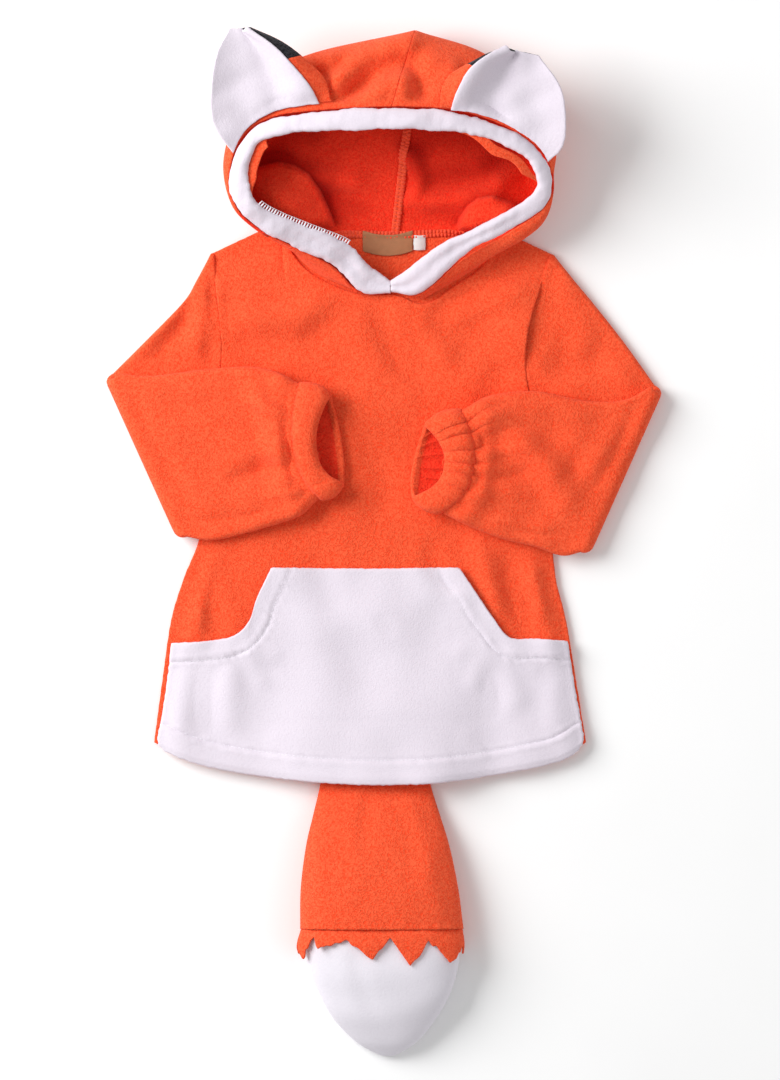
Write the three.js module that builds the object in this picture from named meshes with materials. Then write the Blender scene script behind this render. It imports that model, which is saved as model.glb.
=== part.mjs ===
// A child's hooded fleece pullover cut as a fox, with ears, a pouch pocket and a stuffed tail.
// It lies on its back on a flat surface, with both sleeves folded across the front.
// Millimetres. X runs to the wearer's left, Y from the tail to the hood, and Z up from the surface.
import * as THREE from "three";

// ---------- Driving dimensions ----------
const CLOTH = 2.4; // one layer of fleece
const BAND_CLOTH = 6; // the face band: plush folded double over the hood's edge
const LABEL_CLOTH = 0.8; // woven tape
const SEAM = 0.3; // clearance between two pieces at a seam
const ON_SURFACE = CLOTH / 2; // middle of a layer that lies on the surface
const BODY_LOFT = 3.4; // air between front and back, away from the seams
const SLEEVE_FOLD_STEP = 10; // how much higher the forearm lies than the upper arm
const CUFF_GATHERS = 13; // waves that the elastic makes round each cuff
const CUFF_WAVE = 0.9; // half their depth
const TAIL_TEETH = 9; // points cut round the end of the tail's orange cloth
const TOOTH_CLOTH = 1.8; // that cloth, thinned at its cut edge

// ---------- Reading tables ----------
// Names the columns of a table, so that each row is an object.
const table = (columns, rows) =>
  rows.map((row) => Object.fromEntries(columns.map((name, k) => [name, row[k]])));

const clamp = (value, low, high) => Math.min(Math.max(value, low), high);
const lerp = (a, b, t) => a + (b - a) * t;
const smooth = (t) => {
  const c = clamp(t, 0, 1);
  return c * c * (3 - 2 * c);
};
const steps = (count) => Array.from({ length: count + 1 }, (_, k) => k / count);

// Reads a table between its rows on a smooth curve: t runs from 0 at the first row to 1 at the last.
function between(rows) {
  const last = rows.length - 1;
  const read = (name, k) => {
    if (k < 0) return 2 * rows[0][name] - rows[1][name];
    if (k > last) return 2 * rows[last][name] - rows[last - 1][name];
    return rows[k][name];
  };
  return (t) => {
    const place = clamp(t, 0, 1) * last;
    const k = Math.min(Math.floor(place), last - 1);
    const f = place - k;
    const value = (name) => {
      const [a, b, c, d] = [k - 1, k, k + 1, k + 2].map((i) => read(name, i));
      const bend = (2 * a - 5 * b + 4 * c - d) * f + (3 * (b - c) + d - a) * f * f;
      return b + 0.5 * f * (c - a + bend);
    };
    return Object.fromEntries(Object.keys(rows[0]).map((name) => [name, value(name)]));
  };
}

// Joins edges end to end: shares say how much of the whole each one takes.
function chain(edges, shares) {
  return (t) => {
    let start = 0;
    for (let k = 0; k < edges.length; k++) {
      if (t <= start + shares[k] || k === edges.length - 1) {
        return edges[k](clamp((t - start) / shares[k], 0, 1));
      }
      start += shares[k];
    }
  };
}

const at = (x, y, z = 0) => new THREE.Vector3(x, y, z);

// The wearer's right side lies towards negative X.
const RIGHT_SIDE = -1;
const LEFT_SIDE = 1;

// ---------- Making solids ----------
// A closed mesh from points and quads, turned so that its faces point outwards.
function closedMesh(points, quads) {
  const split = ([a, b, c, d]) => (d === undefined ? [[a, b, c]] : [[a, b, c], [a, c, d]]);
  const faces = quads.flatMap(split);
  const volume = faces.reduce((sum, [a, b, c]) => {
    return sum + points[a].dot(points[b].clone().cross(points[c]));
  }, 0);
  const turned = volume < 0 ? faces.map(([a, b, c]) => [a, c, b]) : faces;
  const geometry = new THREE.BufferGeometry().setFromPoints(points);
  geometry.setIndex(turned.flat());
  geometry.computeVertexNormals();
  return geometry;
}

// The directions square to a grid of points.
function normals(grid, ring = false) {
  const [rows, cols] = [grid.length, grid[0].length];
  const point = (i, j) => {
    const column = ring ? (j + cols) % cols : clamp(j, 0, cols - 1);
    return grid[clamp(i, 0, rows - 1)][column];
  };
  return grid.map((row, i) =>
    row.map((_, j) => {
      const along = point(i + 1, j).clone().sub(point(i - 1, j));
      const across = point(i, j + 1).clone().sub(point(i, j - 1));
      return along.cross(across).normalize();
    }));
}
function movedOut(grid, distance) {
  const out = normals(grid);
  return grid.map((row, i) => row.map((p, j) => p.clone().addScaledVector(out[i][j], distance)));
}

// A cloth wall. The grid gives the middle of the cloth, and a face lies on each side of it.
function wall(grid, { thickness = CLOTH, ring = false, out = normals(grid, ring) } = {}) {
  const [rows, cols] = [grid.length, grid[0].length];
  const points = [1, -1].flatMap((side) =>
    grid.flatMap((row, i) =>
      row.map((p, j) => p.clone().addScaledVector(out[i][j], (side * thickness) / 2))));
  const index = (face, i, j) => (face * rows + i) * cols + (j % cols);
  const lastCol = ring ? cols : cols - 1;
  const quads = [];
  for (let i = 0; i < rows - 1; i++) {
    for (let j = 0; j < lastCol; j++) {
      quads.push([index(0, i, j), index(0, i + 1, j), index(0, i + 1, j + 1), index(0, i, j + 1)]);
      quads.push([index(1, i, j), index(1, i, j + 1), index(1, i + 1, j + 1), index(1, i + 1, j)]);
    }
  }
  for (let j = 0; j < lastCol; j++) {
    quads.push([index(0, 0, j), index(0, 0, j + 1), index(1, 0, j + 1), index(1, 0, j)]);
    const end = rows - 1;
    quads.push([index(0, end, j), index(1, end, j), index(1, end, j + 1), index(0, end, j + 1)]);
  }
  for (let i = 0; i < rows - 1 && !ring; i++) {
    quads.push([index(0, i, 0), index(1, i, 0), index(1, i + 1, 0), index(0, i + 1, 0)]);
    const end = cols - 1;
    quads.push([index(0, i, end), index(0, i + 1, end), index(1, i + 1, end), index(1, i, end)]);
  }
  return closedMesh(points, quads);
}

// A filled piece through closed rings of equal count, with a flat cap at each end.
function loft(rings) {
  const count = rings[0].length;
  const points = rings.flat();
  const index = (i, j) => i * count + (j % count);
  const quads = [];
  for (let i = 0; i < rings.length - 1; i++) {
    for (let j = 0; j < count; j++) {
      quads.push([index(i, j), index(i + 1, j), index(i + 1, j + 1), index(i, j + 1)]);
    }
  }
  for (const [i, flip] of [[0, 0], [rings.length - 1, 1]]) {
    const middle = rings[i].reduce((sum, p) => sum.add(p), at(0, 0)).divideScalar(count);
    points.push(middle);
    for (let j = 0; j < count; j++) {
      const pair = [index(i, j), index(i, j + 1)];
      quads.push([points.length - 1, pair[flip], pair[1 - flip]]);
    }
  }
  return closedMesh(points, quads);
}

// ---------- Garment ----------
const ORANGE = { color: 0xf4521f, roughness: 0.95, metalness: 0 };
const WHITE = { color: 0xf1edf6, roughness: 0.95, metalness: 0 };
const BLACK = { color: 0x1b1a1f, roughness: 0.95, metalness: 0 };
const BROWN = { color: 0x9a6644, roughness: 0.8, metalness: 0 };

const garment = new THREE.Group();
function piece(name, geometry, finish) {
  const mesh = new THREE.Mesh(geometry, new THREE.MeshStandardMaterial(finish));
  mesh.name = name;
  garment.add(mesh);
}

// ---------- Tail sections ----------
// Each row is a section across the tail: its middle, half its width, its underside and its top.
const TAIL_COLUMNS = ["y", "x", "half", "base", "top"];
const TAIL_BODY = table(TAIL_COLUMNS, [
  [-152, -7, 40, 0, 4.6],
  [-180, -7, 43, 0, 7.5],
  [-206, -6.5, 47, 0, 12],
  [-232, -5.5, 54, 0, 23],
  [-258, -4.5, 61, 0, 32],
  [-294, -3, 67, 0, 39],
  [-328.5, -1, 69.5, 0, 41],
]);
const TAIL_TIP = table(TAIL_COLUMNS, [
  [-329, -1, 65, 3, 37],
  [-346, -0.5, 66, 3, 38.5],
  [-365, 0.4, 62.5, 1, 37.5],
  [-385, 1.5, 55, 0, 34],
  [-406, 1.5, 43, 0, 28],
  [-425, 3, 26, 0, 18],
  [-435, 4, 10, 0, 9],
  [-437, 4, 4, 1.5, 5.5],
]);
const TAIL_FLAP = table(TAIL_COLUMNS, [
  [-329, -1, 68, 1.2, 39.6],
  [-342, -2, 70.5, 1.2, 41.2],
  [-354, -2, 69, 1.2, 41],
]);

// A point round a tail section: flat underneath, where the tail rests, and domed on top.
const TAIL_WAIST = 0.42; // height of the widest point, as a share of the section's height
const TAIL_SIDE = 0.75; // powers below 1 fill a section out: at its sides, at its top and underneath
const TAIL_CROWN = 0.85;
const TAIL_BELLY = 0.55;
const BELLY_REACH = 1.15; // makes the underside reach the surface before its middle
function tailPoint(section, angle) {
  const { x, half, top } = section;
  const base = Math.max(section.base, 0);
  const c = Math.cos(angle);
  const s = Math.sin(angle);
  const waist = base + TAIL_WAIST * (top - base);
  const above = waist + (top - waist) * Math.abs(s) ** TAIL_CROWN;
  const below = Math.max(base, waist - BELLY_REACH * (waist - base) * Math.abs(s) ** TAIL_BELLY);
  return at(x + half * Math.sign(c) * Math.abs(c) ** TAIL_SIDE, section.y, s >= 0 ? above : below);
}
const turn = (count) => steps(count).slice(0, count).map((t) => 2 * Math.PI * t);

function tailPart(rows, lengthSteps, ringSteps) {
  const section = between(rows);
  return loft(steps(lengthSteps).map((t) => turn(ringSteps).map((a) => tailPoint(section(t), a))));
}
piece("tail_body", tailPart(TAIL_BODY, 9, 20), ORANGE);
piece("tail_tip", tailPart(TAIL_TIP, 10, 20), WHITE);

// The orange cloth ends in a flap cut to points, which hangs over the white tip.
const TOOTH_STEPS = 4; // places round each point
const TOOTH_VALLEY = 0.3; // share of the flap that isn't cut
function tailTeeth() {
  const section = between(TAIL_FLAP);
  const reach = (j) => {
    const place = (j % TOOTH_STEPS) / TOOTH_STEPS;
    return lerp(TOOTH_VALLEY, 1, 1 - Math.abs(2 * place - 1));
  };
  const row = (t) => turn(TAIL_TEETH * TOOTH_STEPS).map((a, j) => tailPoint(section(t * reach(j)), a));
  return wall(steps(2).map(row), { thickness: TOOTH_CLOTH, ring: true });
}
piece("tail_teeth", tailTeeth(), ORANGE);

// ---------- Body panels ----------
// An edge of a panel, as the places that it passes through.
const edge = (...places) => table(["x", "y"], places);

// Side seams from the hem corner to the armpit, and armholes from there to the shoulder point.
const SIDE_RIGHT = edge([-195, -173], [-187.5, -117], [-180, -66], [-169.5, -31], [-154, 14], [-151.5, 92]);
const SIDE_LEFT = edge([173, -173], [164, -117], [155.5, -66], [147, -31], [142, 20], [138, 92]);
const ARMHOLE_RIGHT = edge(
  [-151.5, 92], [-141.5, 122.8], [-137.5, 153.6], [-138.3, 184.4], [-142, 215.2], [-145, 246]);
const ARMHOLE_LEFT = edge([138, 92], [125.5, 122.6], [121, 153.2], [124, 183.8], [133, 214.4], [144, 245]);
const HEM = edge(
  [-195, -173], [-165, -186.5], [-122, -196], [-60, -203.5], [-5, -206], [50, -204], [105, -196], [150, -186.5],
  [173, -173]);
const SHOULDER_RIGHT = edge([-145, 246], [-88, 273]);
const SHOULDER_LEFT = edge([103, 264], [144, 245]);
const NECK_FRONT = edge(
  [-88, 273], [-77, 246], [-57, 226], [-21, 211.5], [10, 210.5], [36, 203], [62, 219], [86, 237], [103, 264]);
const NECK_BACK = edge(
  [-88, 273], [-70, 265], [-46, 261.5], [-20, 260.5], [7, 260], [38, 260.8], [64, 262], [84, 263.5], [103, 264]);

const ARMPIT = 0.6; // share of a panel's side edge that is side seam
const SHOULDER = 0.2; // share of its top edge that each shoulder takes
const sideEdge = (seam, armhole) => chain([between(seam), between(armhole)], [ARMPIT, 1 - ARMPIT]);
const topEdge = (neck) =>
  chain(
    [between(SHOULDER_RIGHT), between(neck), between(SHOULDER_LEFT)],
    [SHOULDER, 1 - 2 * SHOULDER, SHOULDER],
  );

// A panel drawn by its four edges: across runs from the right side to the left, up from hem to top.
function panelPlan(bottom, top, right, left) {
  return (across, up) => {
    const [b, t, r, l] = [bottom(across), top(across), right(up), left(up)];
    const [b0, b1, t0, t1] = [bottom(0), bottom(1), top(0), top(1)];
    const blend = (k) =>
      lerp(b[k], t[k], up) + lerp(r[k], l[k], across) -
      lerp(lerp(b0[k], b1[k], across), lerp(t0[k], t1[k], across), up);
    return { x: blend("x"), y: blend("y") };
  };
}

// The back and front pass over the root of the tail, which is sewn to the outside of the back.
const ROOT_SPREAD = 110; // half the width of cloth that the root lifts
const ROOT_FLAT = 35; // half the width that it lifts fully
const ROOT_REACH = 66; // how far above the root the cloth comes down to the surface again
const ROOT_CLEARANCE = 0.6;
const rootSection = between(TAIL_BODY.slice(0, 3));
function rootRise(x, y) {
  const [sewnAt, hemAt] = [TAIL_BODY[0].y, TAIL_BODY[2].y];
  const root = rootSection((sewnAt - y) / (sewnAt - hemAt));
  const sideways = smooth((ROOT_SPREAD - Math.abs(x - root.x)) / (ROOT_SPREAD - ROOT_FLAT));
  const upwards = smooth((sewnAt + ROOT_REACH - y) / ROOT_REACH);
  return (root.top + ROOT_CLEARANCE) * sideways * upwards;
}

// Soft folds of the laid front: a line, how wide the fold is, and how far it rises or sinks.
const FOLD_COLUMNS = ["x0", "y0", "x1", "y1", "width", "rise"];
const FRONT_FOLDS = table(FOLD_COLUMNS, [
  [14, 200, 26, 150, 18, -1.7],
  [48, 196, 122, 236, 16, -1.7],
  [60, 25, 62, -20, 16, -1.4],
  [125, -20, 112, -75, 16, -1.6],
  [-118, -10, -112, -60, 18, -1.5],
]);
const POCKET_FOLDS = table(FOLD_COLUMNS, [
  [-124, -95, -127, -165, 11, 2.4],
  [-150, -100, -156, -140, 10, 1.2],
  [108, -96, 111, -142, 11, 2.2],
  [132, -100, 139, -130, 10, 1.2],
]);
function foldRise(folds, x, y) {
  return folds.reduce((sum, { x0, y0, x1, y1, width, rise }) => {
    const [dx, dy] = [x1 - x0, y1 - y0];
    const t = clamp(((x - x0) * dx + (y - y0) * dy) / (dx * dx + dy * dy), 0, 1);
    const off = Math.hypot(x - x0 - t * dx, y - y0 - t * dy) / width;
    return sum + rise * Math.exp(-off * off);
  }, 0);
}

// Height of the middle of the front panel. It meets the back at the side and shoulder seams.
const SIDE_SLOPE = 0.12; // share of the width in which the front comes down to a side seam
const SHOULDER_SLOPE = 0.1; // the same below a shoulder seam
const ARMHOLE_BLEND = 0.08; // share of the height in which it rises from the side seam into the armhole
const BLEND_START = ARMPIT - 0.03;
const NECK_BLEND = 0.06; // share of the width in which it rises from the shoulder seam to the neck
function frontHeight(x, y, across, up) {
  const inwards = Math.min(across, 1 - across);
  const side = Math.max(smooth(inwards / SIDE_SLOPE), smooth((up - BLEND_START) / ARMHOLE_BLEND));
  const shoulder = Math.max(smooth((1 - up) / SHOULDER_SLOPE), smooth((inwards - SHOULDER) / NECK_BLEND));
  const air = Math.max(BODY_LOFT + foldRise(FRONT_FOLDS, x, y), 0);
  return ON_SURFACE + CLOTH + SEAM + air * side * shoulder + rootRise(x, y);
}

const sides = [sideEdge(SIDE_RIGHT, ARMHOLE_RIGHT), sideEdge(SIDE_LEFT, ARMHOLE_LEFT)];
const frontPlan = panelPlan(between(HEM), topEdge(NECK_FRONT), ...sides);
const backPlan = panelPlan(between(HEM), topEdge(NECK_BACK), ...sides);

function frontPoint(across, up) {
  const { x, y } = frontPlan(across, up);
  return at(x, y, frontHeight(x, y, across, up));
}
function backPoint(across, up) {
  const { x, y } = backPlan(across, up);
  return at(x, y, ON_SURFACE + rootRise(x, y));
}
const sheet = (upSteps, acrossSteps, point) =>
  steps(upSteps).map((up) => steps(acrossSteps).map((across) => point(across, up)));
piece("back", wall(sheet(15, 15, backPoint)), ORANGE);
piece("front", wall(sheet(20, 20, frontPoint)), ORANGE);

// ---------- Pouch pocket ----------
// White cloth across the whole hem and nearly to the side seams, with a curved opening at each side.
const POCKET_HEM = edge(
  [-193.5, -174], [-164, -186], [-122, -195.5], [-60, -203], [-5, -205.5], [50, -203.5], [105, -195.5],
  [149, -186], [172, -173.8]);
const POCKET_SIDE_RIGHT = edge([-193.5, -174], [-188, -148], [-183.5, -117], [-180, -86]);
const POCKET_SIDE_LEFT = edge([172, -173.8], [167.5, -148], [162, -117], [157, -84]);
const OPENING_RIGHT = edge([-180, -86], [-150, -81.5], [-127, -77], [-117, -66], [-110, -45], [-101, -22]);
const OPENING_LEFT = edge([65, -21.5], [78, -40], [92, -60], [106, -78], [131, -81], [157, -84]);
const POCKET_TOP = edge([-101, -22], [-18, -22.5], [65, -21.5]);
const OPENING = 8 / 25; // share of the pocket's upper edge that each opening takes
const POCKET_LOFT = 0.9; // clearance over the front
const MOUTH_LIFT = 1.3; // further lift at the openings
const MOUTH_SHARE = 0.25; // share of the pocket's height over which it lifts
const pocketPlan = panelPlan(
  between(POCKET_HEM),
  chain(
    [between(OPENING_RIGHT), between(POCKET_TOP), between(OPENING_LEFT)],
    [OPENING, 1 - 2 * OPENING, OPENING],
  ),
  between(POCKET_SIDE_RIGHT),
  between(POCKET_SIDE_LEFT),
);

// Finds the place on the front panel under a point, by stepping towards it.
const SPAN = 0.01; // share of the panel over which its slope is read
const STEPS_TO_PLACE = 12;
function onFront(x, y) {
  let [across, up] = [0.5, 0.3];
  for (let k = 0; k < STEPS_TO_PLACE; k++) {
    const p = frontPlan(across, up);
    const [beside, above] = [frontPlan(across + SPAN, up), frontPlan(across, up + SPAN)];
    const [ax, ay] = [(beside.x - p.x) / SPAN, (beside.y - p.y) / SPAN];
    const [bx, by] = [(above.x - p.x) / SPAN, (above.y - p.y) / SPAN];
    const det = ax * by - ay * bx;
    across = clamp(across + ((x - p.x) * by - (y - p.y) * bx) / det, 0, 1 - SPAN);
    up = clamp(up + ((y - p.y) * ax - (x - p.x) * ay) / det, 0, 1 - SPAN);
  }
  return { across, up };
}
function pocketPoint(across, up) {
  const { x, y } = pocketPlan(across, up);
  const place = onFront(x, y);
  const mouth = MOUTH_LIFT * smooth((up - 1 + MOUTH_SHARE) / MOUTH_SHARE);
  const onCloth = frontHeight(x, y, place.across, place.up) + CLOTH + POCKET_LOFT;
  return at(x, y, onCloth + mouth + foldRise(POCKET_FOLDS, x, y));
}
piece("pocket", wall(sheet(8, 25, pocketPoint)), WHITE);

// ---------- Sleeves and cuffs ----------
// Each row is a section of the laid sleeve: the edge along the arm's top, the edge along the underarm
// seam, the height of its middle, its thickness, and how far its underside runs ahead of its top.
const SLEEVE_COLUMNS = ["overX", "overY", "underX", "underY", "z", "thick", "lean"];
const UPPER_ARM_RIGHT = table(SLEEVE_COLUMNS, [
  [-146.4, 246, -154, 92, 4, 8, 0],
  [-158, 222, -156, 75, 4, 8, 0],
  [-169, 204, -158.5, 54, 4, 8, 0],
  [-200, 172, -160, 32, 4, 8, 0],
  [-229, 143, -161, 11, 4, 8, 0],
]);
const FOREARM_RIGHT = table(SLEEVE_COLUMNS, [
  [-229, 143, -161, 11, 14, 8, 0],
  [-198, 140.5, -143, 3.5, 14.3, 8.5, 0],
  [-156, 145.5, -117, 9, 15.2, 11, 0],
  [-113, 148.5, -89, 17, 16.3, 13, 5],
  [-88, 143, -70.5, 24, 17.9, 16, 13],
  [-74, 135.5, -56.5, 37, 19, 18, 20],
]);
const CUFF_RIGHT = table(SLEEVE_COLUMNS, [
  [-71.8, 134.2, -54.3, 37.8, 19.3, 17.5, 20],
  [-63, 134, -48.5, 38, 20.4, 19.5, 20],
  [-53, 131.5, -41.5, 41, 20.7, 20, 19],
  [-45, 125, -34, 52, 20.4, 18.5, 18],
]);
const UPPER_ARM_LEFT = table(SLEEVE_COLUMNS, [
  [145.4, 245, 140.2, 92, 4, 8, 0],
  [163, 221, 143, 75, 4, 8, 0],
  [178, 203, 148, 54, 4, 8, 0],
  [204, 170, 154, 27, 4, 8, 0],
  [229.5, 131, 160.5, -1, 4, 8, 0],
]);
const FOREARM_LEFT = table(SLEEVE_COLUMNS, [
  [229.5, 131, 160.5, -1, 14, 8, 0],
  [205, 120, 151, -8.5, 14.3, 8.5, 0],
  [171, 119.5, 129, -2.5, 15.2, 11, 0],
  [129, 127.5, 103.5, 3.5, 16.3, 13, 5],
  [91, 124, 74, 14.5, 17.9, 16, 14],
  [69.5, 113, 52.5, 25.5, 19, 18, 22],
]);
const CUFF_LEFT = table(SLEEVE_COLUMNS, [
  [67.2, 111.5, 50.2, 26, 19.3, 17.5, 22],
  [58, 111.5, 43.5, 26.5, 20.4, 19.5, 23],
  [47, 108, 34.5, 30, 20.7, 20, 23],
  [36, 99.5, 25.5, 40, 20.4, 18.5, 22],
]);

// A point round a flattened tube. turnShare runs once round it: along the face that up points to,
// round the underarm edge, back along the other face, and round the edge along the arm's top.
const END_SHARE = 0.09; // share of the turn that each rounded edge takes
function tubePoint({ over, under, up, thick, ahead }, turnShare, cloth = CLOTH) {
  const radius = (thick - cloth) / 2;
  const span = under.clone().sub(over);
  const half = span.length() / 2;
  const side = span.normalize();
  const middle = over.clone().add(under).multiplyScalar(0.5);
  const face = 0.5 - END_SHARE;
  const t = turnShare % 1;
  let [sideways, upwards] = [0, 0];
  const flat = half - radius;
  if (t < face) {
    [sideways, upwards] = [lerp(-flat, flat, t / face), radius];
  } else if (t < 0.5) {
    const a = (Math.PI * (t - face)) / END_SHARE;
    [sideways, upwards] = [flat + radius * Math.sin(a), radius * Math.cos(a)];
  } else if (t < 0.5 + face) {
    [sideways, upwards] = [lerp(flat, -flat, (t - 0.5) / face), -radius];
  } else {
    const a = (Math.PI * (t - 0.5 - face)) / END_SHARE;
    [sideways, upwards] = [-flat - radius * Math.sin(a), -radius * Math.cos(a)];
  }
  return middle
    .addScaledVector(side, sideways)
    .addScaledVector(up, upwards)
    .addScaledVector(ahead, upwards / radius / 2);
}

// Sections of one part of a sleeve. facing is 1 on the surface and -1 once the sleeve is folded over.
const LOOK = 0.05; // share of a part of the sleeve over which its direction is read
function tubeSections(rows, shares, facing) {
  const row = between(rows);
  return shares.map((t) => {
    const { overX, overY, underX, underY, z, thick, lean } = row(t);
    const [over, under] = [at(overX, overY, z), at(underX, underY, z)];
    const [a, b] = [row(Math.max(t - LOOK, 0)), row(Math.min(t + LOOK, 1))];
    const axis = at(b.overX + b.underX - a.overX - a.underX, b.overY + b.underY - a.overY - a.underY);
    const ahead = axis.normalize().multiplyScalar(lean);
    return { over, under, up: at(0, 0, facing), thick, ahead };
  });
}

// The fold at the elbow: the flattened tube turns over about the crease.
function foldSections(crease, outwards, count) {
  const radius = SLEEVE_FOLD_STEP / 2;
  const over = at(crease.overX, crease.overY, crease.z);
  const under = at(crease.underX, crease.underY, crease.z);
  const away = under.clone().sub(over).cross(at(0, 0, -outwards)).normalize();
  return steps(count).slice(1, count).map((t) => {
    const a = Math.PI * t;
    const shift = away.clone().multiplyScalar(radius * Math.sin(a));
    shift.z += radius * (1 - Math.cos(a));
    const up = at(0, 0, Math.cos(a)).addScaledVector(away, -Math.sin(a));
    const [overEdge, underEdge] = [over.clone().add(shift), under.clone().add(shift)];
    return { over: overEdge, under: underEdge, up, thick: crease.thick, ahead: at(0, 0) };
  });
}

// Shares of the turn at which the sleeve's points lie: closer together round its two edges.
const HALF_TURN = [0, 0.12, 0.24, 0.35, 0.41, 0.44, 0.47];
const TUBE_SHARES = [...HALF_TURN, ...HALF_TURN.map((t) => t + 0.5)];

const HEAD_SECTIONS = 3; // sections in which the sleeve head's curve straightens
function sleeve(upperArm, forearm, armhole, outwards) {
  const sections = [
    ...tubeSections(upperArm, steps(6), 1),
    ...foldSections(upperArm[upperArm.length - 1], outwards, 6),
    ...tubeSections(forearm, steps(8), -1),
  ];
  const seam = between(armhole);
  // The sleeve head follows the curved armhole, and straightens within its first sections.
  const headCurve = (section, k, p) => {
    const hold = Math.max(0, 1 - k / HEAD_SECTIONS);
    const [top, pit] = [seam(1), seam(0)];
    const t = clamp((p.y - section.under.y) / (section.over.y - section.under.y), 0, 1);
    const bow = seam(t).x - lerp(pit.x, top.x, t);
    return p.add(at(bow * hold, 0));
  };
  const ring = (section, k) => TUBE_SHARES.map((t) => headCurve(section, k, tubePoint(section, t)));
  return wall(sections.map(ring), { ring: true });
}
piece("sleeve_right", sleeve(UPPER_ARM_RIGHT, FOREARM_RIGHT, ARMHOLE_RIGHT, RIGHT_SIDE), ORANGE);
piece("sleeve_left", sleeve(UPPER_ARM_LEFT, FOREARM_LEFT, ARMHOLE_LEFT, LEFT_SIDE), ORANGE);

// A cuff is a turned casing with elastic in it, so its wall waves round the wrist.
const WAVE_STEPS = 4; // places round each gather
const SEAM_WAVE = 0.3; // how deep the gathers already are where the cuff is sewn on
function cuff(rows) {
  const count = CUFF_GATHERS * WAVE_STEPS;
  const sections = tubeSections(rows, steps(3), -1);
  return wall(
    sections.map((section, k) =>
      steps(count).slice(0, count).map((t, j) => {
        const inner = tubePoint(section, t);
        const outer = tubePoint({ ...section, thick: section.thick + 2 }, t);
        const out = outer.sub(inner).normalize();
        const depth = k === 0 ? SEAM_WAVE * CUFF_WAVE : CUFF_WAVE;
        return inner.addScaledVector(out, depth * Math.cos((2 * Math.PI * j) / WAVE_STEPS));
      })),
    { ring: true },
  );
}
piece("cuff_right", cuff(CUFF_RIGHT), ORANGE);
piece("cuff_left", cuff(CUFF_LEFT), ORANGE);

// ---------- Hood ----------
// The face band runs from the neck point up the right side, over the crown and back. Each row is a
// section: its outer edge, where the hood is sewn to it, and its inner edge.
const BAND = table(["outerX", "outerY", "outerZ", "innerX", "innerY", "innerZ"], [
  [3, 213.5, 13.5, 4, 221, 15],
  [-20, 214, 15, -10, 234, 19],
  [-43, 236, 23, -29, 253, 28],
  [-80, 253.5, 34, -62, 267, 38],
  [-104, 265.5, 42, -90, 278, 46],
  [-123, 283, 48, -108, 290, 53],
  [-129.5, 308, 51, -115, 311, 57],
  [-119, 341, 57, -106, 335.5, 62],
  [-94.5, 358, 62, -88, 343.5, 66],
  [-53.5, 364, 67, -50, 347.5, 70],
  [7.5, 367, 70, 6, 349, 73],
  [61, 364, 67, 57, 346.5, 70],
  [103.5, 350.5, 62, 97, 338, 66],
  [133, 330, 57, 120, 325.5, 62],
  [142.5, 307, 51, 130.5, 307, 57],
  [136, 285, 45, 124, 292, 50],
  [104, 263, 39, 95, 275.5, 44],
  [68, 243, 30, 54, 256, 35],
  [32, 213, 16, 18, 229.5, 20],
  [8.5, 214.5, 13.5, 6.5, 221.5, 15],
]);
const BAND_FULLNESS = 0.8; // power below 1 that fills out the band's round section
const BAND_LOOK = 0.01; // share of the band over which its direction is read
const band = between(BAND);

function bandSection(t) {
  const { outerX, outerY, outerZ, innerX, innerY, innerZ } = band(t);
  const [outer, inner] = [at(outerX, outerY, outerZ), at(innerX, innerY, innerZ)];
  const [a, b] = [band(Math.max(t - BAND_LOOK, 0)), band(Math.min(t + BAND_LOOK, 1))];
  const along = at(b.outerX - a.outerX, b.outerY - a.outerY, b.outerZ - a.outerZ).normalize();
  const across = inner.clone().sub(outer);
  const raised = along.clone().cross(across).normalize();
  return { outer, inner, across, raised: raised.z < 0 ? raised.negate() : raised };
}
function bandRing(t, count) {
  const { outer, inner, across, raised } = bandSection(t);
  const middle = outer.clone().add(inner).multiplyScalar(0.5);
  return turn(count).map((a) => {
    const [c, s] = [Math.cos(a), Math.sin(a)].map((v) => Math.sign(v) * Math.abs(v) ** BAND_FULLNESS);
    return middle.clone().addScaledVector(across, c / 2).addScaledVector(raised, (s * BAND_CLOTH) / 2);
  });
}
piece("hood_band", loft(steps(52).map((t) => bandRing(t, 8))), WHITE);

// Each row is a rib of one half of the hood: where it leaves the band, counted in the band's rows,
// its widest point, the height of its foot, the height halfway along the inside, and its neck seam.
const RIB_COLUMNS = ["rim", "sideX", "sideY", "sideZ", "foot", "inside", "neckX", "neckY", "neckZ"];
const HOOD_RIGHT = table(RIB_COLUMNS, [
  [1, -21.5, 213.2, 12.8, 11, 9.4, -20.5, 214.6, 7.9],
  [2.2, -51, 233, 18, 13, 9.8, -55, 229, 7.7],
  [3.2, -81, 251, 24, 15, 10, -75, 249, 7.7],
  [4.2, -107, 267, 31, 20, 15, -84, 278, 4.8],
  [5.2, -127, 287, 34, 4, 16, -70, 268, 1.2],
  [6.3, -134, 325, 37, 1.2, 17, -50, 263, 1.2],
  [7.5, -118, 366, 37, 1.2, 6, -30, 262, 1.2],
  [8.7, -74, 408, 36, 1.2, 1.2, -10, 261.5, 1.2],
  [10, 27, 433, 35, 1.2, 1.2, 7, 261, 1.2],
]);
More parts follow.
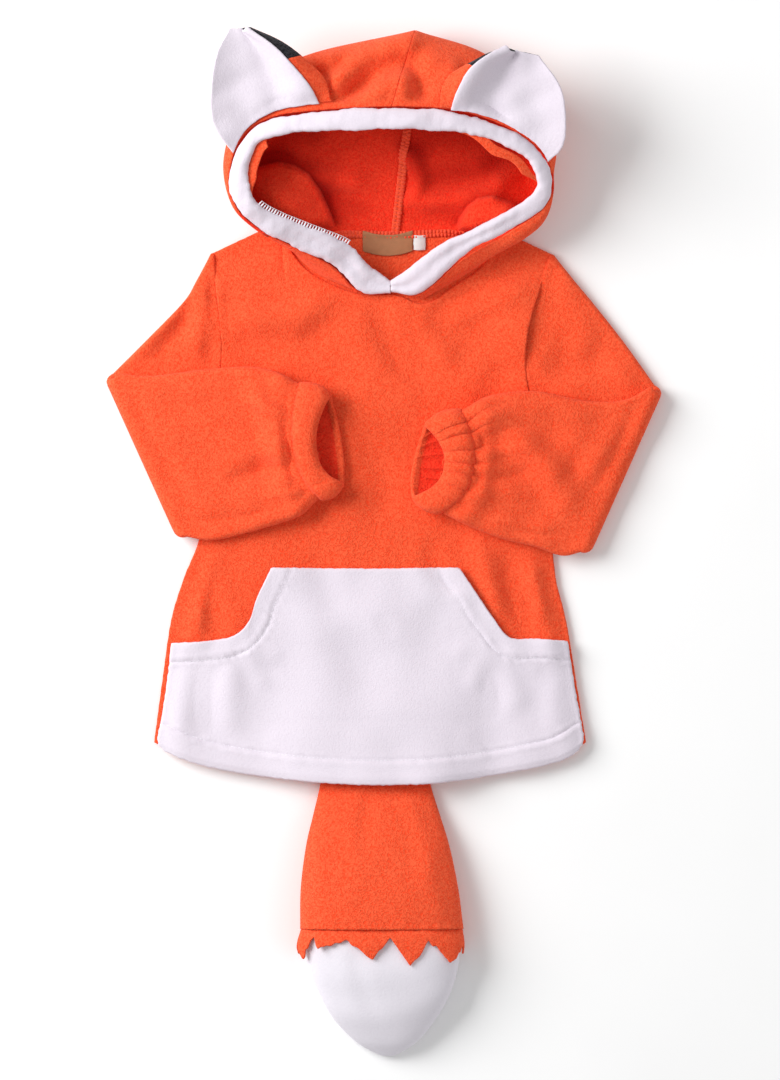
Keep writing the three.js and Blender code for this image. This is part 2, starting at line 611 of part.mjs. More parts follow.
const HOOD_LEFT = table(RIB_COLUMNS, [
  [18.2, 31, 210.5, 12.8, 11, 9.4, 33, 207.5, 7.7],
  [17.2, 60, 227, 19, 14, 9.8, 61, 223, 7.7],
  [16.4, 92, 244, 24, 15, 10, 85, 240.5, 7.7],
  [15.6, 120, 259, 29, 19, 14, 98.5, 270, 4.8],
  [14.8, 138, 277, 31, 4, 14, 84, 266.5, 1.2],
  [13.8, 143, 308, 35, 1.2, 14, 62, 264, 1.2],
  [12.7, 142, 352, 37, 1.2, 5, 42, 262.5, 1.2],
  [11.3, 92, 409, 36, 1.2, 1.2, 24, 261.5, 1.2],
  [10, 27, 433, 35, 1.2, 1.2, 7, 261, 1.2],
]);
const TUCK = 14; // how far the foot of a rib lies in from its widest point
const HALF_RIBS = 17; // steps between the neck point and the centre seam
const RIB_STEPS = 13;
const HALFWAY = 0.45; // where a rib's inside height is set, from its foot to the neck seam

function hoodRib({ rim, sideX, sideY, sideZ, foot, inside, neckX, neckY, neckZ }, count = RIB_STEPS) {
  const { outer, across } = bandSection(rim / (BAND.length - 1));
  const start = outer.clone().addScaledVector(across.clone().normalize(), -(CLOTH / 2 + SEAM));
  const [side, neck] = [at(sideX, sideY, sideZ), at(neckX, neckY, neckZ)];
  const inwards = neck.clone().sub(side).setZ(0);
  const tuck = Math.min(TUCK, inwards.length() / 2);
  const footPoint = side.clone().addScaledVector(inwards.normalize(), tuck).setZ(foot);
  const halfway = footPoint.clone().lerp(neck, HALFWAY).setZ(inside);
  const curve = new THREE.CatmullRomCurve3([start, side, footPoint, halfway, neck], false, "centripetal");
  return steps(count).map((t) => {
    const p = curve.getPoint(t);
    return p.setZ(Math.max(p.z, ON_SURFACE));
  });
}
const halfRibs = (rows) => steps(HALF_RIBS).map((t) => hoodRib(between(rows)(t)));

// The halves meet at the seam that runs over the crown and down the back of the head.
const HOOD_GRID = [...halfRibs(HOOD_RIGHT), ...halfRibs(HOOD_LEFT).reverse().slice(1)];
const HOOD_OUT = normals(HOOD_GRID);
function hoodHalf(side) {
  const [from, to] = side === RIGHT_SIDE ? [0, HALF_RIBS] : [HALF_RIBS, 2 * HALF_RIBS];
  const grid = HOOD_GRID.slice(from, to + 1);
  const seam = side === RIGHT_SIDE ? HALF_RIBS : 0;
  grid[seam] = grid[seam].map((p) => p.clone().add(at((side * SEAM) / 2, 0)));
  return wall(grid, { out: HOOD_OUT.slice(from, to + 1) });
}
piece("hood_right", hoodHalf(RIGHT_SIDE), ORANGE);
piece("hood_left", hoodHalf(LEFT_SIDE), ORANGE);

// ---------- Ears ----------
// Each row is a section from the base to the tip: the edge towards the crown, the edge towards the
// cheek, the height of each over the base, and how deep the ear is cupped.
const EAR_COLUMNS = ["crownX", "crownY", "cheekX", "cheekY", "crownLift", "cheekLift", "cup"];
const EAR_RIGHT = {
  rows: table(EAR_COLUMNS, [
    [-56, 378, -132, 334, 0, 0, 0],
    [-58, 388, -144, 354, 6, 9, 3],
    [-70, 403, -146, 383, 11, 17, 8],
    [-90, 421, -141, 413, 13, 21, 5],
    [-114, 434, -130, 433, 11, 20, 1],
  ]),
  hood: HOOD_RIGHT,
  rims: [8.95, 6.6],
};
const EAR_LEFT = {
  rows: table(EAR_COLUMNS, [
    [62, 377, 143, 322, 0, 0, 0],
    [64, 387, 153, 335, 6, 9, 4],
    [71, 399, 155, 359, 12, 17, 8],
    [85, 410, 150, 386, 12, 20, 7],
    [104, 417, 132, 411, 8, 18, 2],
  ]),
  hood: HOOD_LEFT,
  rims: [10.95, 13.35],
};
const EAR_TIP = 4; // rows of the outer cloth below the black tip
const EAR_ROWS = 7;
const EAR_CLOTH = 2; // short plush
const EAR_SEAT = (CLOTH + EAR_CLOTH) / 2 + 4 * SEAM; // from the hood's cloth to the ear's outer cloth
const BASE_SHARE = 0.06; // how far down a rib the ear is sewn on
const BASE_BEND = 0.4; // share of the ear's length that follows its curved base
const WRAP = 0.14; // share by which the outer cloth shows past the crown edge
const TIP_SEAM = 0.07; // share of a row that parts the black tip from the cloth below it
const SEAT_STEPS = 100; // how finely a rib is read for the ear's place on it

// The place on the hood where a rib that leaves the band at rim passes under the ear's base.
function earSeat(hood, rim) {
  const row = between(hood);
  const rising = hood[0].rim < hood[hood.length - 1].rim;
  let [low, high] = [0, 1];
  for (let k = 0; k < 20; k++) {
    const t = (low + high) / 2;
    if (row(t).rim < rim === rising) low = t;
    else high = t;
  }
  return hoodRib(row(low), SEAT_STEPS)[Math.round(SEAT_STEPS * BASE_SHARE)];
}

// The grid of the ear's outer cloth, which is cupped and follows the hood at its base.
function earGrid({ rows, hood, rims }) {
  const section = between(rows);
  const seats = [0, 1].map((k) => earSeat(hood, rims[k]));
  const free = (across, up) => {
    const { crownX, crownY, cheekX, cheekY, crownLift, cheekLift, cup } = section(up);
    const inside = clamp(across, 0, 1);
    const height = lerp(seats[0].z + crownLift, seats[1].z + cheekLift, inside);
    const p = at(lerp(crownX, cheekX, across), lerp(crownY, cheekY, across), height);
    return p.setZ(p.z - 4 * cup * inside * (1 - inside));
  };
  const columns = [-WRAP, ...steps(7)];
  return steps(EAR_ROWS).map((up) =>
    columns.map((across) => {
      const offset = earSeat(hood, lerp(rims[0], rims[1], across)).sub(free(across, 0));
      const p = free(across, up).addScaledVector(offset, 1 - smooth(up / BASE_BEND));
      return p.setZ(p.z + EAR_SEAT);
    }));
}
function ear(name, shape, side) {
  const grid = earGrid(shape);
  const inner = movedOut(grid, -side * (EAR_CLOTH + 2 * SEAM)).map((row) => row.slice(1));
  const tip = grid.slice(EAR_TIP).map((row, k) =>
    k > 0 ? row : row.map((p, j) => p.clone().lerp(grid[EAR_TIP + 1][j], TIP_SEAM)));
  piece(`${name}_inner`, wall(inner, { thickness: EAR_CLOTH }), WHITE);
  piece(`${name}_outer`, wall(grid.slice(0, EAR_TIP + 1), { thickness: EAR_CLOTH }), ORANGE);
  piece(`${name}_tip`, wall(tip, { thickness: EAR_CLOTH }), BLACK);
}
ear("ear_right", EAR_RIGHT, RIGHT_SIDE);
ear("ear_left", EAR_LEFT, LEFT_SIDE);

// ---------- Neck label and size tab ----------
// Tape sewn over the back neck seam, bowed a little between its two ends.
const TAPE_BOW = 0.8;
function tape(right, left, top, drop, sag, height) {
  return wall(
    steps(1).map((v) =>
      steps(6).map((t) => {
        const bow = 4 * t * (1 - t);
        return at(lerp(right, left, t), top - sag * bow - v * drop, height + TAPE_BOW * bow);
      })),
    { thickness: LABEL_CLOTH },
  );
}
const TAPE_HEIGHT = CLOTH + SEAM + LABEL_CLOTH / 2;
piece("label", tape(-17, 25, 265.5, 15, 4, TAPE_HEIGHT), BROWN);
piece("size_tab", tape(26.3, 36, 259.5, 11, 0.4, TAPE_HEIGHT), WHITE);

export default garment;
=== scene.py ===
# %% [markdown]
# A child's hooded fleece pullover cut as a fox, laid flat on its back with both sleeves folded across
# the front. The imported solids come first, as the fixed frame that every piece of cloth is fitted to.

# %% Load the frame
import math

import bmesh
import bpy
import numpy as np
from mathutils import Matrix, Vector


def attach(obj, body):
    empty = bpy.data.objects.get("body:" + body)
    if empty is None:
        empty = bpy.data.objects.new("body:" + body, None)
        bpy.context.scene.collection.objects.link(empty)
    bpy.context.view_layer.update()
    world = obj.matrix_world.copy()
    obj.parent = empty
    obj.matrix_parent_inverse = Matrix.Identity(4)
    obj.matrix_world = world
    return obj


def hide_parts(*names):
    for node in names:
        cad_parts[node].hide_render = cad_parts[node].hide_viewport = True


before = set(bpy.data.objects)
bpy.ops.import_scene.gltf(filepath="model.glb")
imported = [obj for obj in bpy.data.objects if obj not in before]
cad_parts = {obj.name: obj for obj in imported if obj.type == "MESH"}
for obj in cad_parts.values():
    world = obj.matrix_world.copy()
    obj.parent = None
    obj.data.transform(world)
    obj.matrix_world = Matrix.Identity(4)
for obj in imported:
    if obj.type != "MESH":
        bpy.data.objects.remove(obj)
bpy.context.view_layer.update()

# %% [markdown]
# Lengths below are millimetres, as a pattern cutter writes them, and become metres when a mesh is made.
# X runs to the wearer's left, Y from the tail to the hood, and Z up from the surface.

# %% Measures of the cloth
MM = 0.001
CLOTH = 2.4  # one layer of fleece
PLUSH = 3.2  # one layer of plush
SEAM = 0.3  # clearance at a seam
ON_SURFACE = CLOTH / 2  # middle of a layer that lies on the surface
BODY_LOFT = 3.4  # air between front and back
BAND_PUFF = 8  # how thick the pile of the folded face band makes it look
EAR_CLOTH = 2
RIM_STEPS = 3  # points round a cut edge
INSET_STEPS = 6  # rows of points that close up behind one
FRAY = 4.5  # how far apart the uneven places of a cut edge lie
PRESS = 0.35  # how far a sewn edge is pressed into its neighbour's pile
print("cloth", CLOTH, "mm, band", BAND_PUFF, "mm")

# %% [markdown]
# Each pattern edge and each row of sections is a short table. A smooth curve runs through its rows, as
# a cutter draws a line through marked points with a flexible rule.

# %% Curves through tables
def smooth(t):
    t = np.clip(t, 0, 1)
    return t * t * (3 - 2 * t)


def lerp(a, b, t):
    return a + (b - a) * t


def bell(v):
    """1 at nothing, falling away on both sides."""
    return np.exp(-(v**2))


def boxed(c, power):
    """A sine or cosine drawn towards a box: a smaller power gives a squarer section."""
    return np.sign(c) * np.abs(c) ** power


def unit(v):
    return v / np.maximum(np.linalg.norm(v, axis=-1, keepdims=True), 1e-9)


def turned_up(v):
    """Directions turned over where they point down."""
    return np.where(v[..., 2:] < 0, -v, v)


def along(rows, t):
    """Reads a table between its rows on a smooth curve: t runs from 0 to 1."""
    rows = np.asarray(rows, float)
    place = np.clip(np.asarray(t, float), 0, 1) * (len(rows) - 1)
    k = np.minimum(place.astype(int), len(rows) - 2)
    f = (place - k)[..., None]
    ends = np.vstack([2 * rows[:1] - rows[1:2], rows, 2 * rows[-1:] - rows[-2:-1]])
    a, b, c, d = (ends[k + i] for i in range(4))
    bend = (2 * a - 5 * b + 4 * c - d) * f + (3 * (b - c) + d - a) * f * f
    return b + 0.5 * f * (c - a + bend)


def chain(tables, shares):
    """Joins edges end to end; shares say how much of the whole each one takes."""
    def read(t):
        t = np.asarray(t, float)
        out = np.zeros(t.shape + (2,))
        start = 0.0
        for rows, share in zip(tables, shares):
            here = t >= start - 1e-9
            out[here] = along(rows, (t[here] - start) / share)
            start += share
        return out
    return read


def edge(rows):
    return lambda t: along(rows, t)


def panel(bottom, top, right, left):
    """A panel drawn by its four edges: across runs from right to left, up from hem to top."""
    def plan(across, up):
        b, t, r, l = bottom(across), top(across), right(up), left(up)
        b0, b1, t0, t1 = (f(np.array(v)) for f, v in ((bottom, 0), (bottom, 1), (top, 0), (top, 1)))
        u, a = np.asarray(up)[..., None], np.asarray(across)[..., None]
        return lerp(b, t, u) + lerp(r, l, a) - lerp(lerp(b0, b1, a), lerp(t0, t1, a), u)
    return plan


def spaced(count):
    return np.linspace(0, 1, count + 1)


print("halfway along a test table:", along([[0, 0], [1, 2], [2, 0]], 0.25).round(3))

# %% [markdown]
# Cloth isn't perfectly even, so a slow wave of a few unrelated lengths runs over each piece. Creases are
# placed one by one, each with its own length, width, height and bow, because a row of equal ones looks
# moulded.

# %% Unevenness and creases
def slow_waves(points, size, seed, count=7):
    """A smooth wandering value between about -1 and 1 over points, with waves near size long."""
    random = np.random.default_rng(seed)
    total = np.zeros(points.shape[:-1])
    for _ in range(count):
        way = random.normal(size=points.shape[-1])
        way *= 2 * math.pi / (size * random.uniform(0.7, 1.6)) / np.linalg.norm(way)
        total += np.sin(points @ way + random.uniform(0, 2 * math.pi))
    return total / math.sqrt(count)


def creases(x, y, table):
    """Height of listed creases: x0, y0, x1, y1, sideways bow, width, height."""
    total = np.zeros(np.broadcast(x, y).shape)
    for x0, y0, x1, y1, bow, width, height in table:
        dx, dy = x1 - x0, y1 - y0
        length = math.hypot(dx, dy)
        t = ((x - x0) * dx + (y - y0) * dy) / length**2
        off = ((x - x0) * dy - (y - y0) * dx) / length - bow * 4 * t * (1 - t)
        fade = smooth((t + 0.25) / 0.45) * smooth((1.25 - t) / 0.45)
        ridge = bell(off / width) - 0.45 * bell((off - 1.7 * width) / width)
        total += height * fade * ridge
    return total


def line_distance(line, x, y):
    """Distance from each point to a line given by its places, and with a sign: positive on its right."""
    best = np.full(np.broadcast(x, y).shape, 1e9)
    signed = np.zeros(best.shape)
    for (ax, ay), (bx, by) in zip(line[:-1], line[1:]):
        dx, dy = bx - ax, by - ay
        t = np.clip(((x - ax) * dx + (y - ay) * dy) / (dx * dx + dy * dy + 1e-9), 0, 1)
        gap = np.hypot(x - ax - t * dx, y - ay - t * dy)
        signed = np.where(gap < best, np.sign((x - ax) * dy - (y - ay) * dx) * gap, signed)
        best = np.minimum(best, gap)
    return best, signed


print("test crease height:", creases(np.array(0.0), np.array(5.0), [(0, 0, 0, 10, 0, 2, 1)]).round(3))

# %% [markdown]
# A piece of cloth is a wall with two faces and a rounded edge, drawn from the grid of its middle. Real
# fleece is cut square, but its pile rounds the cut over, and the round edges make the grooves at the
# seams by themselves.

# %% Walls of cloth
def directions(grid, ring=False):
    """The directions square to a grid of points."""
    round_it = np.roll(grid, -1, 1) - np.roll(grid, 1, 1) if ring else np.gradient(grid, axis=1)
    return unit(np.cross(np.gradient(grid, axis=0), round_it))


def linked(name, data):
    """A new object in the scene."""
    new = bpy.data.objects.new(name, data)
    bpy.context.scene.collection.objects.link(new)
    return new


def set_marks(mesh, marks):
    """Keeps values at the points of a mesh, for its finish and for geometry trees."""
    for key, values in marks.items():
        wide = np.ndim(values) == 2
        layer = mesh.attributes.new(key, "FLOAT_VECTOR" if wide else "FLOAT", "POINT")
        layer.data.foreach_set("vector" if wide else "value", np.asarray(values, np.float32).ravel())


def mesh_piece(name, points, faces, marks=None):
    """A mesh object from millimetre points, with its faces turned outwards."""
    mesh = bpy.data.meshes.new(name)
    mesh.from_pydata((np.asarray(points) * MM).tolist(), [], [list(map(int, f)) for f in faces])
    work = bmesh.new()
    work.from_mesh(mesh)
    bmesh.ops.recalc_face_normals(work, faces=work.faces)
    if work.calc_volume(signed=True) < 0:
        bmesh.ops.reverse_faces(work, faces=work.faces)
    work.to_mesh(mesh)
    work.free()
    set_marks(mesh, marks or {})
    mesh.polygons.foreach_set("use_smooth", [True] * len(mesh.polygons))
    return linked(name, mesh)


def quads(number, ring=True):
    """The faces between the points of a grid, closed round where it is a ring."""
    a = np.hstack([number, number[:, :1]]) if ring else number
    return np.stack([a[:-1, :-1], a[1:, :-1], a[1:, 1:], a[:-1, 1:]], -1).reshape(-1, 4)


def cloth(name, grid, thickness=CLOTH, ring=False, out=None, marks=None, inner=None, shaded=1.0, fuzz=0.12):
    """A closed wall of cloth from the grid of its middle, rounded at its cut edges.

    inner says which of its faces is turned to the wearer, 0 for the first one and 1 for the second; that
    face gets painted shade, a deeper red, as much as the next argument says, and above 1 darker painted
    shadow. fuzz is how unevenly its pile stands out of the cut edge.
    """
    out = directions(grid, ring) if out is None else out
    total = grid.shape[0] * grid.shape[1]
    number = np.arange(total).reshape(grid.shape[:2])
    inset = thickness / 2 - PRESS
    drawn, away = grid.copy(), np.zeros_like(grid)
    for axis in range(1 if ring else 2):  # the rows behind an edge close up evenly, so that none is passed
        from_grid, to_drawn, to_away = (v.swapaxes(0, axis) for v in (grid, drawn, away))
        for end, step in ((0, 1), (-1, -1)):
            way = unit(from_grid[end] - from_grid[end + step])
            to_away[end] += way
            for k in range(1, INSET_STEPS):
                to_drawn[end + step * k] -= way * inset * (1 - k / INSET_STEPS)
    borders = [number[0], number[-1]]
    if not ring:
        borders = [np.concatenate([number[0], number[1:, -1], number[-1, -2::-1], number[-2:0:-1, 0]])]
    middle, square, away = (v.reshape(-1, 3) for v in (drawn, out, unit(away)))
    for loop in borders:
        stray = fuzz * slow_waves(middle[loop], FRAY, len(loop))
        middle[loop] -= away[loop] * (inset + stray[:, None])
    points = [middle + square * thickness / 2, middle - square * thickness / 2]
    faces = [quads(number, ring), quads(number, ring)[:, ::-1] + total]
    source = [np.arange(total)] * 2
    start = 2 * total
    for loop in borders:
        rims = [loop]
        for k in range(RIM_STEPS):
            angle = math.pi * (0.5 - (k + 1) / (RIM_STEPS + 1))
            outwards = away[loop] * math.cos(angle) * thickness / 2
            points.append(middle[loop] + outwards + square[loop] * math.sin(angle) * thickness / 2)
            rims.append(np.arange(start, start + len(loop)))
            source.append(loop)
            start += len(loop)
        rims.append(loop + total)
        for low, high in zip(rims[:-1], rims[1:]):
            faces.append(np.stack([low, np.roll(low, -1), np.roll(high, -1), high], -1))
    pick = np.concatenate(source)
    marks = {k: np.asarray(v).reshape(total, -1).squeeze()[pick] for k, v in (marks or {}).items()}
    if inner is not None:
        shaded = np.broadcast_to(shaded, number.shape).ravel()
        # the rounded rims get less painted shade than the inner face
        face = 0.4 * np.minimum(shaded, 1)[pick]
        face[:total], face[total : 2 * total] = (1 - inner) * shaded, inner * shaded
        marks["inside"] = face
    return mesh_piece(name, np.vstack(points), np.vstack(faces), marks)


def filled(name, rings):
    """A filled piece through closed rings, with a cap at each end."""
    rings = np.asarray(rings)
    count, around = rings.shape[:2]
    number = np.arange(count * around).reshape(count, around)
    faces = quads(number).tolist()
    points = np.vstack([rings.reshape(-1, 3), rings[0].mean(0), rings[-1].mean(0)])
    for k, row in ((count * around, number[0]), (count * around + 1, number[-1])):
        faces += [[k, int(p), int(q)] for p, q in zip(row, np.roll(row, -1))]
    return mesh_piece(name, points, faces)


def area_of(grid, ring=False):
    """Area of a grid in square metres."""
    g = np.concatenate([grid, grid[:, :1]], 1) if ring else grid
    a, b = g[1:, 1:] - g[:-1, :-1], g[1:, :-1] - g[:-1, 1:]
    return float(np.linalg.norm(np.cross(a, b), axis=-1).sum() / 2) * MM * MM


made = []


def fit(piece, node=None, slot=None, material=None):
    """Puts a piece on the garment, in the place of its solid and with its finish."""
    if material is not None:
        piece.data.materials.clear()
        piece.data.materials.append(material)
    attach(piece, "root")
    if node:
        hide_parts(node)
    made.append(piece)
    print(piece.name, len(piece.data.vertices), "points")
    return piece


def add_sheet(name, grid, wide, held, rests_on, slot="fleece_orange", finish=None, ring=False, **more):
    """Draws and fits one sheet of cloth in the place of the solid of its name."""
    piece = fit(cloth(name + "_cloth", grid, ring=ring, **more), name, slot, finish or orange)
    area_of(grid, ring)


print("a cloth square:", area_of(np.array([[[0, 0, 0], [0, 9, 0]], [[9, 0, 0], [9, 9, 0]]], float)))

# %% [markdown]
# Shader and shape formulas are written as plain sums, so that a finish reads like a recipe. One small
# class turns each sum into nodes, for materials and for geometry alike.

# %% Node recipes
class Amount:
    """A number or vector in a node tree. Sums of amounts add their own nodes."""

    def __init__(self, tree, socket):
        self.tree, self.socket = tree, socket

    def math(self, operation, *others):
        return node(self.tree, "ShaderNodeMath", dict(enumerate([self, *others])), operation=operation)

    def cos(self):
        return self.math("COSINE")

    def size(self):
        """The amount without its sign."""
        return self.math("ABSOLUTE")

    def kept(self):
        """The amount, held between 0 and 1."""
        return node(self.tree, "ShaderNodeClamp", {0: self})


def give_sign(sign, operation):
    """Gives amounts one arithmetic sign, with the amount on its left or on its right."""
    def left(self, other):
        return self.math(operation, other)

    def right(self, other):
        return node(self.tree, "ShaderNodeMath", {0: other, 1: self}, operation=operation)
    setattr(Amount, f"__{sign}__", left)
    setattr(Amount, f"__r{sign}__", right)


for sign, operation in (("add", "ADD"), ("sub", "SUBTRACT"), ("mul", "MULTIPLY"), ("pow", "POWER")):
    give_sign(sign, operation)


def feed(socket, value):
    """Fills one input with an amount or a plain value."""
    if isinstance(value, Amount):
        value.tree.links.new(value.socket, socket)
    else:
        socket.default_value = value


def node(tree, kind, inputs=None, output=0, **settings):
    """Adds one node, fills its inputs from amounts or plain values, and gives back an output."""
    new = tree.nodes.new(kind)
    for key, value in settings.items():
        setattr(new, key, value)
    for key, value in (inputs or {}).items():
        feed(new.inputs[key], value)
    return Amount(tree, new.outputs[output]) if len(new.outputs) else new


def blend(tree, factor, low, high):
    """Mixes two colours by an amount."""
    mix = tree.nodes.new("ShaderNodeMix")
    mix.data_type = "RGBA"
    for key, value in (("Factor_Float", factor), ("A_Color", low), ("B_Color", high)):
        feed(next(s for s in mix.inputs if s.identifier == key), value)
    return Amount(tree, next(s for s in mix.outputs if s.identifier == "Result_Color"))


def new_finish(name):
    """A new material, its tree, and the places on a piece that its patterns are laid by."""
    material = bpy.data.materials.new(name)
    material.use_nodes = True
    return material, material.node_tree, node(material.node_tree, "ShaderNodeTexCoord", output="Object")


def noise(place, scale, detail, **more):
    return node(place.tree, "ShaderNodeTexNoise", {"Vector": place, "Scale": scale, "Detail": detail, **more})


def dress(material, values):
    """Fills inputs of a material's shader."""
    for key, value in values.items():
        feed(material.node_tree.nodes["Principled BSDF"].inputs[key], value)
    return material


print("node recipes ready")

# %% [markdown]
# The orange cloth is anti-pill polar fleece: brushed until its pile curls into short worms two or three
# millimetres apart, with painted shade, a darker red, between them. Its inner face, where no light reaches,
# is painted a deeper red as painted shade. The white plush of band, pocket and ears is shorter and smoother.
# The curls are the crests of a warped noise, with finer hair noise over them.

# %% Fleece and plush
def pile(name, lit, deep, curl, depth, contrast, tone, sheen, sheen_tint, inner=None):
    """Brushed cloth: curl is the size of its curls and depth their height, in millimetres."""
    material, tree, place = new_finish(name)
    curls = noise(place, 1 / (curl * MM), 1.2, Roughness=0.4, Distortion=0.6)
    clumps, hairs = noise(place, 0.3 / (curl * MM), 2.0), noise(place, 2.6 / (curl * MM), 3.0)
    patches = noise(place, 12.0, 2.0)
    ridge = (1.0 - (curls - 0.5).size() * 5.6).kept()
    height = ridge * 0.8 + hairs * 0.35 + clumps * 0.6
    # shade: the lit colour on the curls' crests and painted shade, the deep colour, between them; hairs and patches
    # add random tone
    shade = (0.5 + (ridge - 0.55) * contrast + (hairs - 0.5) * contrast + (patches - 0.5) * tone).kept()
    colour = blend(tree, shade, (*deep, 1), (*lit, 1))
    if inner:
        # painted shade: the inside attribute turns faces a deeper red, and above 1 the dark red of painted shadow
        inside = node(tree, "ShaderNodeAttribute", output="Fac", attribute_name="inside")
        colour = blend(tree, inside.kept(), colour, blend(tree, shade, (*inner[0], 1), (*inner[1], 1)))
        colour = blend(tree, (inside - 1.0).kept(), colour, (*inner[2], 1))
    return dress(material, {
        "Base Color": colour, "Roughness": (0.99 - ridge * 0.12).kept(), "Specular IOR Level": 0.12,
        "Normal": node(tree, "ShaderNodeBump", {"Height": height, "Strength": 0.8, "Distance": depth * MM}),
        "Sheen Weight": sheen, "Sheen Roughness": 0.5, "Sheen Tint": (*sheen_tint, 1),
    })


orange = pile(
    "fleece orange", (1.0, 0.135, 0.050), (0.92, 0.066, 0.018), 2.0, 0.7, 0.95, 0.2, 0.18, (1.0, 0.55, 0.38),
    # painted shade of the inside: its deep and lit red, then the dark red of painted shadow in folds
    inner=((0.94, 0.026, 0.009), (1.0, 0.062, 0.024), (0.44, 0.005, 0.002)),
)
white = pile(
    "plush white", (0.758, 0.693, 0.768), (0.708, 0.64, 0.718), 2.2, 0.16, 0.45, 0.25, 0.08, (1.0, 0.97, 1.0)
)
black = pile(
    "fleece black", (0.040, 0.038, 0.042), (0.010, 0.010, 0.012), 2.6, 0.7, 0.9, 0.3, 0.2, (0.5, 0.5, 0.55)
)
fluffy = pile(
    "tail plush", (0.80, 0.765, 0.825), (0.76, 0.72, 0.785), 3.0, 0.1, 0.35, 0.25, 0.12, (1.0, 0.98, 1.0)
)
print("cloths:", [m.name for m in (orange, white, black, fluffy)])

# %% [markdown]
# The neck label is a woven tape and the size tab a smooth satin one. A tape is two sets of crossing
# threads, so two waves cross in its bump. Sewing thread is twisted from finer strands.

# %% Tapes and thread
def woven(name, lit, deep, thread, rough_level):
    """Narrow woven tape, with threads so many millimetres apart."""
    material, tree, place = new_finish(name)
    x, y = (node(tree, "ShaderNodeSeparateXYZ", {0: place}, output=axis) for axis in range(2))
    turn = 2 * math.pi / (thread * MM)
    weave = ((x * turn).cos() * (y * turn).cos()) * 0.5 + 0.5
    wear = noise(place, 220.0, 3.0)
    shade = (weave * 0.6 + (wear - 0.35) * 0.9).kept()
    return dress(material, {
        "Base Color": blend(tree, shade, (*deep, 1), (*lit, 1)), "Sheen Weight": 0.1,
        "Normal": node(tree, "ShaderNodeBump", {"Height": weave, "Strength": 0.6, "Distance": 0.15 * MM}),
        "Roughness": (rough_level + (wear - 0.5) * 0.2).kept(),
    })


tape_brown = woven("tape brown", (0.50, 0.215, 0.095), (0.35, 0.14, 0.055), 0.7, 0.7)
tape_white = woven("tape white", (0.86, 0.85, 0.84), (0.70, 0.69, 0.68), 0.5, 0.5)
thread_white = woven("thread white", (0.95, 0.93, 0.96), (0.72, 0.68, 0.76), 0.4, 0.75)
thread_orange = woven("thread orange", (0.98, 0.115, 0.038), (0.82, 0.045, 0.013), 0.4, 0.75)
print("tapes and threads ready")

# %% [markdown]
# Sewing repeats one stitch along a line, so a small set of geometry nodes does it: the line is divided
# into even steps, each step gets a rounded stitch that is turned along or across the line, and a fixed
# seed varies its size a little, as a machine does on thick cloth.

# %% Rows of stitches
def shape_tree(name, names, build):
    """A geometry tree with named inputs. What build makes of them is made real and given its cloth."""
    tree = bpy.data.node_groups.new(name, "GeometryNodeTree")
    socket = tree.interface.new_socket
    socket("Geometry", in_out="INPUT", socket_type="NodeSocketGeometry")
    keys = {key: socket(key, in_out="INPUT", socket_type="NodeSocket" + kind) for key, kind in names.items()}
    socket("Geometry", in_out="OUTPUT", socket_type="NodeSocketGeometry")
    start = tree.nodes.new("NodeGroupInput")
    given = {s.name: Amount(tree, s) for s in start.outputs if s.name}
    solid = node(tree, "GeometryNodeRealizeInstances", {"Geometry": build(tree, given)})
    solid = node(tree, "GeometryNodeSetShadeSmooth", {"Geometry": solid})
    solid = node(tree, "GeometryNodeSetMaterial", {"Geometry": solid, "Material": given["Cloth"]})
    node(tree, "NodeGroupOutput", {0: solid})
    return tree, keys


def mark(tree, name, kind="FLOAT"):
    """Reads the values that are kept at the points of a mesh."""
    return node(tree, "GeometryNodeInputNamedAttribute", {"Name": name}, data_type=kind)


def scaled(tree, vector, factor):
    return node(tree, "ShaderNodeVectorMath", {0: vector, "Scale": factor}, operation="SCALE")


def stitch_row(tree, given):
    line = node(tree, "GeometryNodeMeshToCurve", {"Mesh": given["Geometry"]})
    line = node(tree, "GeometryNodeResampleCurve", {"Curve": line, "Length": given["Pitch"]}, mode="LENGTH")
    turn, up = "FunctionNodeAlignRotationToVector", mark(tree, "up", "FLOAT_VECTOR")
    turned = node(tree, turn, {"Vector": node(tree, "GeometryNodeInputTangent")}, axis="X")
    turned = node(tree, turn, {"Rotation": turned, "Vector": up}, axis="Z", pivot_axis="X")
    ball = node(tree, "GeometryNodeMeshIcoSphere", {"Radius": 0.5, "Subdivisions": 2})
    chance = tree.nodes.new("FunctionNodeRandomValue")
    chance.data_type = "FLOAT"
    low, high = (s for s in chance.inputs if s.type == "VALUE" and s.enabled and s.name in ("Min", "Max"))
    feed(low, 1.0 - given["Unevenness"])
    feed(high, 1.0 + given["Unevenness"])
    feed(chance.inputs["Seed"], given["Seed"])
    size = scaled(tree, given["Size"], Amount(tree, next(s for s in chance.outputs if s.enabled)))
    values = {"Points": line, "Instance": ball, "Rotation": turned, "Scale": size}
    return node(tree, "GeometryNodeInstanceOnPoints", values)


def by_nodes(holder, name, shape, values):
    """Runs a geometry tree on an object, with its inputs set first, and gives back a plain piece."""
    tree, keys = shape
    step = holder.modifiers.new("shape", "NODES")
    step.node_group = tree
    for key, value in values.items():
        step[keys[key].identifier] = value
    bpy.context.view_layer.update()
    graph = bpy.context.evaluated_depsgraph_get()
    piece = linked(name, bpy.data.meshes.new_from_object(holder.evaluated_get(graph)))
    bpy.data.objects.remove(holder)
    return piece


STITCHES = shape_tree(
    "row of stitches",
    {"Pitch": "Float", "Size": "Vector", "Unevenness": "Float", "Seed": "Int", "Cloth": "Material"}, stitch_row,
)


